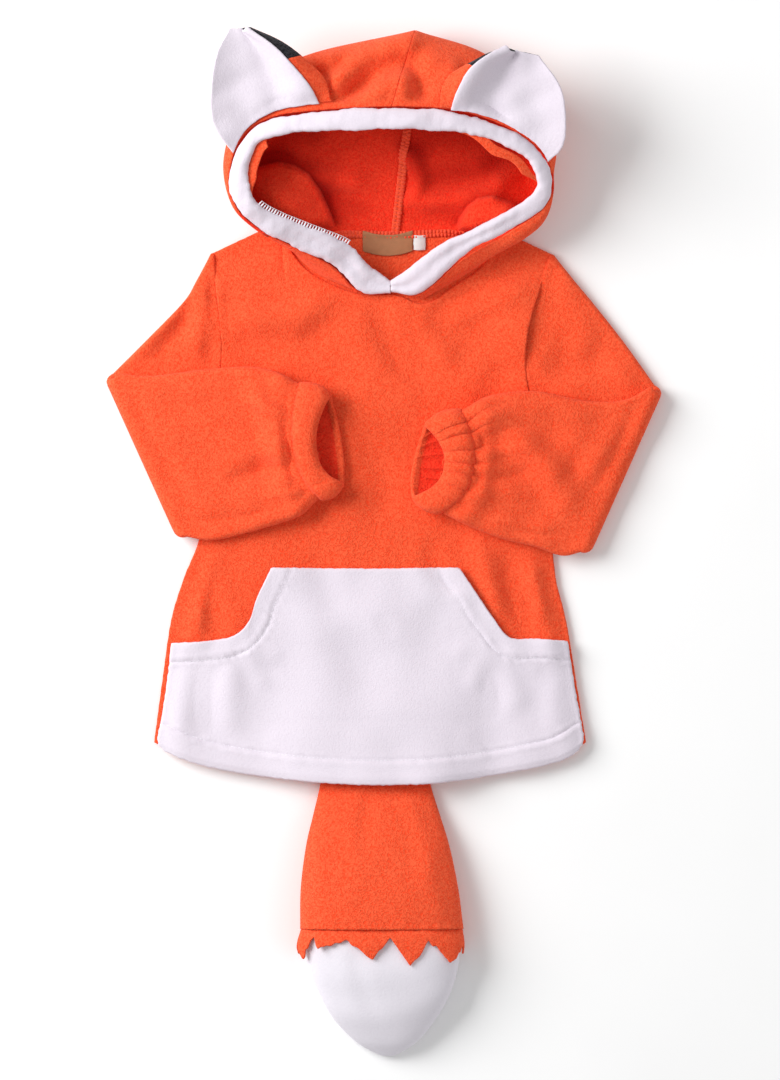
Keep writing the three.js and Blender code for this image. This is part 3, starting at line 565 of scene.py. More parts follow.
def stitches(name, line, up, pitch, size, thread, seed, unevenness=0.12, slot="fleece_orange"):
    """Sews along a line of places in millimetres. size is length along, width across and height."""
    mesh = bpy.data.meshes.new(name + " line")
    mesh.from_pydata((line * MM).tolist(), [(k, k + 1) for k in range(len(line) - 1)], [])
    set_marks(mesh, {"up": up})
    size = [v * MM for v in size]
    values = {"Pitch": pitch * MM, "Size": size, "Unevenness": unevenness, "Seed": seed, "Cloth": thread}
    return fit(by_nodes(linked(name + " line", mesh), name, STITCHES, values), slot=slot)


print("stitch inputs:", list(STITCHES[1]))

# %% [markdown]
# The tail is a stuffed tube, flat where it lies on the surface and domed above. On the real garment it
# is sewn from two mirrored halves and filled with fibre, so its top is full and its sewn end is flat. It
# is lofted through sections measured from the hem to the tip, and shallow dents keep it from looking
# turned on a lathe.

# %% Tail sections
# Each row: how far along the tail, the middle across it, half the width, the underside and the top.
TAIL_BODY = [
    (-152, -7, 40, 0, 4.6), (-180, -7, 43, 0, 7.5), (-206, -6.5, 47, 0, 12), (-232, -5.5, 54, 0, 23),
    (-258, -4.5, 61, 0, 32), (-294, -3, 67, 0, 39), (-328.5, -1, 69.5, 0, 41),
]
TAIL_TIP = [
    (-329, -1, 65, 3, 37), (-346, -0.5, 66, 3, 38.5), (-365, 0.4, 62.5, 1, 37.5), (-385, 1.5, 55, 0, 34),
    (-406, 1.5, 43, 0, 28), (-425, 3, 26, 0, 18), (-435, 4, 10, 0, 9), (-437, 4, 4, 1.5, 5.5),
]
TAIL_FLAP = [(-329, -1, 68, 1.2, 39.6), (-342, -2, 70.5, 1.2, 41.2), (-354, -2, 69, 1.2, 41)]
TAIL_WAIST = 0.42  # where up its height the tail is widest
TIP_SEAM, PUCKER_LONG = -326, 5  # the seam to the tip, and how far its puckers run


def tail_ring(section, angle):
    y, x, half, base, top = (section[..., k] for k in range(5))
    base = np.maximum(base, 0)
    c, s = np.cos(angle), np.sin(angle)
    waist = base + TAIL_WAIST * (top - base)
    above = waist + (top - waist) * np.abs(s) ** 0.85
    below = np.maximum(base, waist - 1.15 * (waist - base) * np.abs(s) ** 0.55)
    wide = x + half * boxed(c, 0.75)
    return np.stack([wide, np.broadcast_to(y, wide.shape), np.where(s >= 0, above, below)], -1)


def around(ring_steps):
    """Angles round a tail section, spaced so that its points lie evenly over its top."""
    turn = 2 * math.pi * np.arange(ring_steps) / ring_steps
    c = np.cos(turn)
    return np.where(turn <= math.pi, 1, -1) * np.arccos(boxed(c, 4 / 3)) % (2 * math.pi)


def stuffed(rows, steps, bottom, over, dents, high, wave, seed):
    """A stuffed part of the tail, with dents and slow unevenness over its top."""
    part = tail_ring(along(rows, spaced(steps[0])[:, None]), around(steps[1]))
    upper = smooth((part[..., 2] - bottom) / over)
    part[..., 2] += upper * (creases(part[..., 0], part[..., 1], dents) + high * slow_waves(part, wave, seed))
    return part, upper


TAIL_DENTS = [
    (-42, -212, -52, -300, 6, 9, 1.3), (20, -215, 38, -285, -4, 8, 1.1), (-10, -208, -14, -262, 3, 7, -1.2),
    (52, -262, 60, -320, 2, 7, -0.9), (-20, -300, 8, -322, 3, 8, -0.8),
]
body, upper = stuffed(TAIL_BODY, (110, 160), 6, 14, TAIL_DENTS, 0.5, 60, 5)
puckers = bell((body[..., 1] - TIP_SEAM) / PUCKER_LONG) * upper
body[..., 2] += puckers * 0.7 * slow_waves(body[..., :2], 9, 8)
tip = stuffed(TAIL_TIP, (70, 120), 5, 12, [(-22, -345, -6, -400, 4, 8, -0.8)], 0.6, 34, 6)[0]
for name, part, slot, finish in (
    ("tail_body", body, "fleece_orange", orange), ("tail_tip", tip, "plush_white", fluffy),
):
    fit(filled(name + "_cloth", part), name, slot, finish)

# %% [markdown]
# The orange cloth of the tail ends in a loose flap cut to nine points by hand with scissors, so no two
# are the same length and one has curled over. It hangs free over the white tip.

# %% Tail points
# Round the flap by degrees, from its left edge over the top: how far the cut edge reaches at tips and valleys.
TOOTH_CUT = [
    (0, 0.75), (12, 0.5), (34, 1.15), (61, 0.36), (75, 1.22), (87, 0.24), (92.5, 0.98), (107, 0.3), (122, 0.5),
    (134, 0.66), (140, 0.22), (158, 1.02), (172, 0.5), (196, 0.95), (214, 0.35), (236, 1.0), (252, 0.3), (276, 0.9),
    (298, 0.35), (322, 1.0), (344, 0.4), (360, 0.75),
]
TOOTH_ROWS = 16
FLAP_POINTS = 420
OVERHANG = 25  # how fast a long point runs on past the flap's last section
CURLED_AT, CURLED_OVER, CURL_HIGH = 134, 9, 6  # one point has curled over: its place and width in degrees


def tail_points():
    angle = around(FLAP_POINTS)
    degrees, cut_at = np.array(TOOTH_CUT).T
    reach = np.interp(np.degrees(angle), degrees, cut_at)
    reach += 0.05 * slow_waves(np.stack([np.cos(angle), np.sin(angle)], -1), 0.12, 10)
    t = spaced(TOOTH_ROWS)[:, None] * reach
    grid = tail_ring(along(TAIL_FLAP, np.minimum(t, 1)), angle)
    grid[..., 1] -= OVERHANG * np.maximum(t - 1, 0)
    lift = smooth((grid[..., 2] - 4) / 10)
    curl = bell((np.degrees(angle) - CURLED_AT) / CURLED_OVER) * t**2
    waves = 1.4 * t**2 * np.sin(3 * angle + 1) + 0.4 * slow_waves(grid[..., :2], 30, 9)
    grid[..., 2] += lift * (waves + CURL_HIGH * curl)
    grid[..., 1] += 5 * curl * t
    grid[..., 2] -= 0.8 * bell(t / 0.12) * lift
    return grid


flap = tail_points()
tail_teeth = fit(cloth("tail_points_cloth", flap, 1.8, ring=True), "tail_teeth", "fleece_orange", orange)
area_of(flap, True)

# %% [markdown]
# Back and front are single panels, wider at the hem than at the chest. They are sewn together at the
# side and shoulder seams, the sleeves are set into their armholes, and both lie over the flat root of
# the tail. The edges are drawn from the hem up.

# %% Pattern of the body
SIDE_RIGHT = [(-195, -173), (-187.5, -117), (-180, -66), (-169.5, -31), (-154, 14), (-151.5, 92)]
SIDE_LEFT = [(173, -173), (164, -117), (155.5, -66), (147, -31), (142, 20), (138, 92)]
ARMHOLE_RIGHT = [(-151.5, 92), (-141.5, 122.8), (-137.5, 153.6), (-138.3, 184.4), (-142, 215.2), (-145, 246)]
ARMHOLE_LEFT = [(138, 92), (125.5, 122.6), (121, 153.2), (124, 183.8), (133, 214.4), (144, 245)]
HEM = [
    (-195, -173), (-165, -186.5), (-122, -196), (-60, -203.5), (-5, -206), (50, -204), (105, -196), (150, -186.5),
    (173, -173),
]
SHOULDER_RIGHT = [(-145, 246), (-88, 273)]
SHOULDER_LEFT = [(103, 264), (144, 245)]
NECK_FRONT = [
    (-88, 273), (-77, 246), (-57, 226), (-21, 211.5), (10, 210.5), (36, 203), (62, 219), (86, 237), (103, 264),
]
NECK_BACK = [
    (-88, 273), (-70, 265), (-46, 261.5), (-20, 260.5), (7, 260), (38, 260.8), (64, 262), (84, 263.5), (103, 264),
]
ARMPIT, SHOULDER = 0.6, 0.2  # how far up a side seam the armhole starts, and a shoulder's share of the top
side_seams = [
    chain(tables, [ARMPIT, 1 - ARMPIT]) for tables in ((SIDE_RIGHT, ARMHOLE_RIGHT), (SIDE_LEFT, ARMHOLE_LEFT))
]


def body_plan(neck):
    top = chain([SHOULDER_RIGHT, neck, SHOULDER_LEFT], [SHOULDER, 1 - 2 * SHOULDER, SHOULDER])
    return panel(edge(HEM), top, *side_seams)


front_plan, back_plan = body_plan(NECK_FRONT), body_plan(NECK_BACK)

ROOT_SPREAD, ROOT_FLAT, ROOT_REACH = 110, 35, 66  # the cloth lies on the tail's root and slopes off round it
ROOT_CLEAR = 0.6  # air between the root and the cloth over it


def root_rise(x, y):
    """How far the root of the tail lifts the cloth over it."""
    sewn_at, hem_at = TAIL_BODY[0][0], TAIL_BODY[2][0]
    root = along(TAIL_BODY[:3], (sewn_at - y) / (sewn_at - hem_at))
    sideways = smooth((ROOT_SPREAD - np.abs(x - root[..., 1])) / (ROOT_SPREAD - ROOT_FLAT))
    upwards = smooth((sewn_at + ROOT_REACH - y) / ROOT_REACH)
    return (root[..., 4] + ROOT_CLEAR) * sideways * upwards


print("chest", round(float(side_seams[1](np.array(0.6))[0] - side_seams[0](np.array(0.6))[0])), "mm")

# %% [markdown]
# The front lies loose, so it keeps a few soft creases from handling: one slanting down from the neck,
# long ones falling from under the sleeves to the pocket, and drag lines towards the armholes. The back
# has quieter ones of its own, where nobody smooths it.

# %% Front and back panels
FRONT_CREASES = [
    (-6, 200, 34, 138, 3, 12, -3.0), (10, 206, 22, 170, 1, 9, 1.3), (-40, 205, -62, 165, 3, 11, -1.8),
    (47, 197, 124, 234, -4, 9, -2.6), (62, 195, 118, 218, -2, 11, 1.3), (-122, 176, -96, 150, 2, 12, -1.9),
    (-130, 130, -108, 96, 3, 11, 1.1), (108, 150, 88, 110, 3, 12, -2.0), (92, 60, 78, 4, 3, 11, 1.0),
    (40, -2, 60, -40, 3, 10, -2.2), (105, -12, 128, -84, 3, 10, -2.6), (120, -14, 138, -60, 2, 9, 1.3),
    (-155, -15, -142, -84, 3, 10, -2.4), (-136, -35, -124, -72, -2, 9, 1.3), (-20, 60, -60, 20, 4, 15, -1.8),
    (-50, -4, -40, -60, 3, 15, -2.0), (8, 20, 2, -80, 4, 15, 1.2), (-165, -60, -172, -100, 2, 7, 1.0),
    (-20, 96, 4, 30, -3, 13, -1.8), (-70, 190, -20, 176, -3, 13, 1.2), (60, 168, 16, 120, 3, 12, 1.2),
]
# Larger swells stand up only where no sleeve lies on the front.
FRONT_SWELLS = [
    (-122, 190, -44, 202, 4, 13, 4.6), (114, 222, 118, 160, 0, 30, 4.2), (-139, 236, -142, 162, 0, 7, 2.4),
    (-147, -14, -157, -70, 2, 7, 3.2), (80, 0, 100, -56, 0, 9, 3.2), (128, -22, 136, -64, 0, 8, 2.6),
    (30, 192, 58, 156, 2, 10, 2.6),
]
SIDE_SLOPE, SHOULDER_SLOPE = 0.12, 0.1
HEM_COVERED = 0.006  # how much of the height the pocket's thicker hem covers at the bottom


def front_height(x, y, across, up):
    inwards = np.minimum(across, 1 - across)
    side = np.maximum(smooth(inwards / SIDE_SLOPE), smooth((up - ARMPIT + 0.03) / 0.08))
    shoulder = np.maximum(smooth((1 - up) / SHOULDER_SLOPE), smooth((inwards - SHOULDER) / 0.06))
    uneven = 1.1 * slow_waves(np.stack(np.broadcast_arrays(x, y), -1), 75, 11) - 0.3
    air = np.clip(BODY_LOFT + creases(x, y, FRONT_CREASES) + uneven, 0.1, BODY_LOFT + 1.5)
    air = air + creases(x, y, FRONT_SWELLS)
    return ON_SURFACE + CLOTH + SEAM + np.maximum(air, 0.1) * side * shoulder + root_rise(x, y)


def back_height(x, y, *_):
    return ON_SURFACE + root_rise(x, y)


# The front is drawn last, so its grid is the one kept for the hood's seam.
for name, plan_of, height_of, rows, cols, under in (
    ("back", back_plan, back_height, 110, 100, "tail_body_cloth"),
    ("front", front_plan, front_height, 180, 160, "back_cloth"),
):
    across, up = np.meshgrid(spaced(cols), lerp(HEM_COVERED, 1, spaced(rows)))
    plan = plan_of(across, up)
    height = height_of(plan[..., 0], plan[..., 1], across, up)
    body_middle = np.concatenate([plan, height[..., None]], -1)
    add_sheet(name, body_middle, 0.38, "laid", under)

# %% [markdown]
# The pouch pocket is white plush across the whole hem, caught in the hem and the side seams. Its two
# slanted mouths are turned under 17 mm and topstitched, which pulls small star creases at the corners,
# and its hem is turned up 20 mm with the front's.

# %% Pattern of the pocket
POCKET_HEM = [
    (-193.5, -174), (-164, -186.4), (-122, -196), (-60, -203.5), (-5, -206), (50, -204), (105, -196),
    (149, -186.4), (172, -173.8),
]
POCKET_SIDE_RIGHT = [(-193.5, -174), (-188, -148), (-183.5, -117), (-180, -86)]
POCKET_SIDE_LEFT = [(172, -173.8), (167.5, -148), (162, -117), (157, -84)]
OPENING_RIGHT = [(-180, -86), (-150, -84), (-127, -79.5), (-114, -67), (-107.5, -48), (-95, -21.5)]
OPENING_LEFT = [(65, -21.5), (78, -41), (93, -63), (108, -81), (131, -82), (157, -84)]
POCKET_TOP = [(-95, -21.5), (-18, -22.5), (65, -21.5)]
OPENING = 8 / 25  # each opening's share of the pocket's upper edge
POCKET_LOFT, MOUTH_LIFT = 0.9, 1.3  # air under the pocket, and more of it at the openings
MOUTH_HEM, HEM_DEPTH = 15.5, 20  # how far from the edge the stitches run
pocket_plan = panel(
    edge(POCKET_HEM), chain([OPENING_RIGHT, POCKET_TOP, OPENING_LEFT], [OPENING, 1 - 2 * OPENING, OPENING]),
    edge(POCKET_SIDE_RIGHT), edge(POCKET_SIDE_LEFT),
)


def on_front(x, y):
    """Finds the place on the front panel under each point, by stepping towards it."""
    span = 0.01
    across, up = np.full(x.shape, 0.5), np.full(x.shape, 0.3)
    for _ in range(12):
        p = front_plan(across, up)
        a = (front_plan(across + span, up) - p) / span
        b = (front_plan(across, up + span) - p) / span
        det = a[..., 0] * b[..., 1] - a[..., 1] * b[..., 0]
        dx, dy = x - p[..., 0], y - p[..., 1]
        across = np.clip(across + (dx * b[..., 1] - dy * b[..., 0]) / det, 0, 1 - span)
        up = np.clip(up + (dy * a[..., 0] - dx * a[..., 1]) / det, 0, 1 - span)
    return across, up


POCKET_CREASES = [
    (-126, -100, -130, -158, 3, 12, 2.2), (-114, -90, -100, -122, 2, 8, 1.2), (-134, -92, -152, -112, 2, 8, 0.9),
    (-118, -90, -88, -98, 1, 8, 0.9), (102, -96, 112, -142, -3, 11, 2.0), (94, -92, 76, -124, 2, 9, 1.2),
    (106, -92, 132, -108, 1, 8, 0.9), (90, -88, 62, -94, 1, 8, 0.8), (-60, -60, -30, -120, 5, 16, 0.8),
    (30, -50, 20, -110, 4, 15, 0.7), (148, -118, 144, -162, 1, 9, 1.0), (-168, -110, -172, -158, 1, 9, 1.0),
    (-20, -165, 30, -185, 2, 10, 0.5), (-95, -165, -70, -188, 1, 9, 0.6), (70, -160, 84, -186, 1, 9, 0.6),
]
CORNER_ROUND = 5  # how far the pocket's lower corners are drawn in


def groove(distance, at, width, depth):
    """A stitched line sinks into thick cloth, and the cloth swells a little beside it."""
    off = (distance - at) / width
    return -depth * bell(off) + 0.35 * depth * bell((np.abs(off) - 2.6) / 1.2)


def pocket_grid(rows, cols):
    across, up = np.meshgrid(spaced(cols), spaced(rows))
    plan = pocket_plan(across, up)
    for corner, inwards in ((POCKET_HEM[0], (1, 0.7)), (POCKET_HEM[-1], (-1, 0.7))):
        near = bell(np.linalg.norm(plan - corner, axis=-1) / CORNER_ROUND)
        plan = plan + near[..., None] * np.array(inwards) * CORNER_ROUND * 0.45
    x, y = plan[..., 0], plan[..., 1]
    place = on_front(x, y)
    mouths = np.minimum(*(
        line_distance(along(rows, spaced(60)), x, y)[0] for rows in (OPENING_RIGHT, OPENING_LEFT)
    ))
    hem = line_distance(along(POCKET_HEM, spaced(80)), x, y)[0]
    mouth = MOUTH_LIFT * smooth((up - 0.75) / 0.25)
    doubled = 0.7 * smooth((MOUTH_HEM + 1 - mouths) / 2)
    doubled = doubled + 1.1 * smooth((HEM_DEPTH + 1 - hem) / 3) * smooth(hem / 5)
    sewn = groove(mouths, MOUTH_HEM, 1.5, 0.5) + groove(hem, HEM_DEPTH, 1.4, 0.6)
    puckers = 0.25 * bell((hem - HEM_DEPTH) / 5) * slow_waves(plan, 9, 21)
    puckers += 0.3 * bell((mouths - MOUTH_HEM) / 5) * slow_waves(plan, 8, 22)
    soft = np.maximum(creases(x, y, POCKET_CREASES), -0.3) + 0.35 * slow_waves(plan, 55, 23)
    height = front_height(x, y, *place) + CLOTH + POCKET_LOFT + mouth + doubled + sewn + puckers + soft
    return np.concatenate([plan, height[..., None]], -1), mouths, hem


pocket_middle, to_mouth, to_hem = pocket_grid(90, 170)
add_sheet("pocket", pocket_middle, 0.37, "laid", "front_cloth", "plush_white", white, thickness=PLUSH, fuzz=0.25)

# %% [markdown]
# White topstitching holds the pocket's hem and both turned mouths. Each stitched line is read from the
# cloth's own grid, so the stitches lie in their groove.

# %% Pocket topstitching
def stitched_line(grid, distance, at, cols, from_top=False):
    """The line on a grid where a distance from an edge is reached, column by column."""
    out = turned_up(directions(grid))
    step = -1 if from_top else 1
    rows = range(len(grid) - 1, 0, -1) if from_top else range(len(grid) - 1)
    places, ups = [], []
    for j in cols:
        for i in rows:
            a, b = distance[i, j], distance[i + step, j]
            if (a - at) * (b - at) <= 0 and a != b:
                place = lerp(grid[i, j], grid[i + step, j], (at - a) / (b - a))
                places.append(place + out[i, j] * PLUSH / 2)
                ups.append(out[i, j])
                break
    return np.array(places), np.array(ups)


STITCH = (2.5, 0.6, 0.45)
columns = pocket_middle.shape[1]
for name, distance, reach, cols, top in (
    ("pocket_hem_stitching", to_hem, HEM_DEPTH, range(2, columns - 2), False),
    ("pocket_mouth_stitching_right", to_mouth, MOUTH_HEM, range(3, int(columns * 0.34)), True),
    ("pocket_mouth_stitching_left", to_mouth, MOUTH_HEM, range(int(columns * 0.66), columns - 3), True),
):
    line, ups = stitched_line(pocket_middle, distance, reach, cols, top)
    stitches(name, line, ups, 3.4, STITCH, thread_white, seed=4, slot="plush_white")

# %% [markdown]
# A sleeve is a flattened tube that leaves the armhole, lies on the surface, and turns over at the elbow
# so that the forearm lies across the front. It is drawn through sections, each with the edge along the
# top of the arm and the edge along the underarm seam.

# %% Pattern of the sleeves and cuffs
# Each row: the edge over the arm, the underarm edge, height, thickness, and how far an open end slants.
UPPER_ARM_RIGHT = [
    (-146, 244.4, -154, 92, 4, 8, 0), (-158, 222, -156, 75, 4, 8, 0), (-169, 204, -158.5, 54, 4, 8, 0),
    (-200, 172, -160, 32, 4, 8, 0), (-229, 143, -167, 6, 4, 8, 0),
]
FOREARM_RIGHT = [
    (-229, 143, -167, 6, 14, 8, 0), (-198, 140.5, -145, 3, 14.3, 8.5, 0), (-156, 145.5, -117, 9, 15.2, 11, 0),
    (-113, 148.5, -89, 17, 16.3, 13, 4), (-88, 143, -70.5, 24, 17.9, 16, 10), (-74, 135.5, -56.5, 37, 19, 18, 16),
]
CUFF_RIGHT = [
    (-71.8, 134.2, -54.3, 37.8, 19.3, 17.5, 16), (-63, 134, -48.5, 38, 20.4, 19.5, 17.5),
    (-53, 131.5, -41.5, 41, 20.7, 20, 19), (-45, 125, -34, 50, 20.4, 18.5, 20),
]
UPPER_ARM_LEFT = [
    (145, 243.4, 140.2, 92, 4, 8, 0), (163, 221, 143, 75, 4, 8, 0), (178, 203, 148, 54, 4, 8, 0),
    (204, 170, 154, 27, 4, 8, 0), (230.5, 133, 168, -7, 4, 8, 0),
]
FOREARM_LEFT = [
    (230.5, 133, 168, -7, 14, 8, 0), (205, 120, 152, -10, 14.3, 8.5, 0), (171, 119.5, 129, -2.5, 15.2, 11, 0),
    (129, 127.5, 103.5, 3.5, 16.3, 13, 5), (91, 124, 74, 14.5, 17.9, 16, 14), (69.5, 113, 52.5, 25.5, 19, 18, 22),
]
CUFF_LEFT = [
    (67.2, 111.5, 50.2, 26, 19.3, 17.5, 22), (58, 111.5, 43.5, 26.5, 20.4, 19.5, 23),
    (47, 108, 34.5, 30, 20.7, 20, 24), (36, 99.5, 25.5, 38, 20.4, 18.5, 24.5),
]
END_SHARE = 0.09  # how much of a sleeve's points go round each edge of the flattened tube
LOOK = 0.05  # how far before and after a section its direction is read
BACKWARDS, FORWARDS = 0.9, 0.2  # how an open end's slant is shared between its upper and lower layer
FOLD_STEP = 10  # how high the forearm's middle lies over the upper arm's


def tube_ring(over, under, up, thick, ahead, turn):
    """Points round one section of a flattened tube; turn runs from 0 to 1."""
    radius = (thick - CLOTH) / 2
    span = under - over
    flat = np.linalg.norm(span) / 2 - radius
    face = 0.5 - END_SHARE
    a, b = (math.pi * (turn - start - face) / END_SHARE for start in (0, 0.5))
    cases = [turn < face, turn < 0.5, turn < 0.5 + face]
    over_face, under_face = lerp(-flat, flat, turn / face), lerp(flat, -flat, (turn - 0.5) / face)
    level = np.full_like(turn, radius)
    sideways = np.select(cases, [over_face, flat + radius * np.sin(a), under_face], -flat - radius * np.sin(b))
    upwards = np.select(cases, [level, radius * np.cos(a), -level], -radius * np.cos(b))
    layer = upwards / max(radius, 1)
    place = sideways / (flat + radius)
    place = place - 0.18 * (1 - place**2)
    slant = np.where(layer < 0, BACKWARDS, FORWARDS) * layer * (1 - np.abs(place) ** 2.4)
    return (over + under) / 2 + unit(span) * sideways[:, None] + up * upwards[:, None] + slant[:, None] * ahead


def tube_sections(rows, shares, facing):
    out = []
    for t in shares:
        ox, oy, ux, uy, z, thick, lean = along(rows, t)
        a, b = along(rows, max(t - LOOK, 0)), along(rows, min(t + LOOK, 1))
        axis = unit(np.array([b[0] + b[2] - a[0] - a[2], b[1] + b[3] - a[1] - a[3], 0]))
        out.append((np.array([ox, oy, z]), np.array([ux, uy, z]), np.array([0, 0, facing]), thick, axis * lean))
    return out


def fold_sections(crease, outwards, count):
    ox, oy, ux, uy, z, thick, _ = crease
    over, under = np.array([ox, oy, z], float), np.array([ux, uy, z], float)
    away = unit(np.cross(under - over, [0, 0, -outwards]))
    out = []
    for t in spaced(count)[1:-1]:
        a = math.pi * t
        shift = away * FOLD_STEP / 2 * math.sin(a) + np.array([0, 0, FOLD_STEP / 2 * (1 - math.cos(a))])
        up = np.array([0, 0, math.cos(a)]) - away * math.sin(a)
        out.append((over + shift, under + shift, up, thick, np.zeros(3)))
    return out


# Points lie closer together round the two edges of the flattened tube.
HALF_TURN = np.concatenate([
    np.linspace(start, end, count, endpoint=False) for start, end, count in ((0, 0.41, 84), (0.41, 0.5, 14))
])
TURN = np.concatenate([HALF_TURN, HALF_TURN + 0.5])
print("points round a sleeve:", len(TURN))

# %% [markdown]
# The sleeves are full, so the forearm is puffed where the cuff's elastic gathers it and creased where
# it leaves the elbow. The creases on the two arms differ, and the hidden undersides have a few too.

# %% Sleeves
FOREARM_CREASES_RIGHT = [
    (-112, 142, -88, 50, -5, 8.5, 4.4), (-84, 66, -131, 50, 2, 8, -2.4), (-196, 132, -168, 92, 4, 14, 1.6),
    (-222, 128, -176, 60, 5, 8, -1.6), (-205, 120, -150, 40, 4, 9, 1.3), (-118, 140, -80, 118, 2, 6, -1.6),
    (-124, 122, -74, 104, -2, 6, 1.4), (-128, 100, -70, 88, 1, 6, -1.7), (-120, 78, -66, 72, 1, 5, 1.4),
    (-116, 58, -64, 58, -2, 5, -1.7), (-106, 40, -64, 46, 1, 5, 1.3), (-170, 130, -120, 134, 2, 8, 0.9),
    (-150, 20, -100, 26, 2, 4, -1.3), (-180, 96, -150, 88, 3, 12, 0.8),
]
FOREARM_CREASES_LEFT = [
    (84, 112, 156, 42, -7, 12, 5.4), (120, 118, 182, 66, -5, 12, 1.8), (92, 42, 130, 18, 2, 8, -2.0),
    (220, 116, 176, 44, -5, 8, -1.6), (200, 104, 150, 26, -4, 9, 1.2), (118, 118, 80, 98, 2, 6, 1.4),
    (126, 100, 76, 84, 2, 6, -1.8), (122, 80, 66, 70, 1, 5, 1.3), (118, 58, 62, 54, -1, 5, -1.7),
    (108, 40, 62, 42, 1, 5, 1.5), (100, 24, 64, 32, 1, 4, -1.2), (168, 106, 124, 114, 2, 7, 0.9),
    (148, 6, 104, 12, -2, 4, -1.3), (186, 84, 150, 72, 3, 12, 0.8),
]
UPPER_CREASES_RIGHT = [
    (-152, 218, -158, 158, 2, 8, 3.2), (-160, 200, -190, 156, 3, 9, -3.0), (-152, 170, -200, 150, 3, 9, 1.6),
    (-172, 196, -216, 152, 1, 8, 2.4),
]
UPPER_CREASES_LEFT = [
    (152, 228, 172, 170, -4, 10, 2.8), (144, 148, 188, 160, 4, 12, -3.2), (164, 205, 200, 150, 3, 9, -1.8),
    (172, 190, 212, 134, 2, 8, 1.8),
]


UPPER_STEPS, FOLD_STEPS, FOREARM_STEPS = 36, 12, 74
ALLOWANCE, ALLOWANCE_STEPS = 4.5, 4  # cloth of the sleeve that goes on inside a seam
TAPERED, THINNED = 5, 4.6  # how much narrower and flatter the allowance gets, to stay hidden in the seam
CORNER_OVER, CORNER_UNDER = 4, 8  # how round the folded sleeve's two corners are
GATHERS, GATHER_DRIFT = 15, 0.32
GATHER_REACH = 24  # how far up the sleeve the gathers fade out
PUFFED = 2.6  # how far the sleeve stands up before it dips into the cuff's seam
PUFFED_AT, PUFFED_LONG = 14, 9  # how far before that seam, and over what length
ARMHOLE_REACH = 51  # how far down the arm the curve of the armhole still shows


def turned_in(section, sign):
    """The rings that carry a sleeve's end on inside the seam, turning down as they go."""
    over, under, up, thick, ahead, way = section
    out = []
    for k in range(1, ALLOWANCE_STEPS + 1):
        a = math.pi / 2 * k / ALLOWANCE_STEPS
        shift = way * sign * ALLOWANCE * math.sin(a)
        inset = unit(under - over) * TAPERED * k / ALLOWANCE_STEPS
        out.append((over + shift + inset, under + shift - inset, up, thick - THINNED * (1 - math.cos(a)), ahead))
    return out


def rounded_corners(section, over_gap, under_gap):
    """Draws the two corners of the elbow in, where the folded cloth is round."""
    over, under, up, thick, ahead = section
    side = unit(under - over)
    radii = ((CORNER_OVER, over_gap), (CORNER_UNDER, under_gap))
    inset = [r - math.sqrt(max(r * r - max(r - gap, 0) ** 2, 0)) for r, gap in radii]
    return over + side * inset[0], under - side * inset[1], up, thick, ahead


def gather_wave(turn):
    """The gathers round a wrist, as the cuff's own geometry tree makes them."""
    wander = GATHER_DRIFT * (np.cos(turn * 6 * math.pi) + np.cos(turn * 10 * math.pi + 2))
    phase = turn * math.pi * GATHERS + wander
    return np.abs(np.cos(phase)) ** 0.6 * 2 - 1.4 + 0.25 * np.cos(3 * wander)


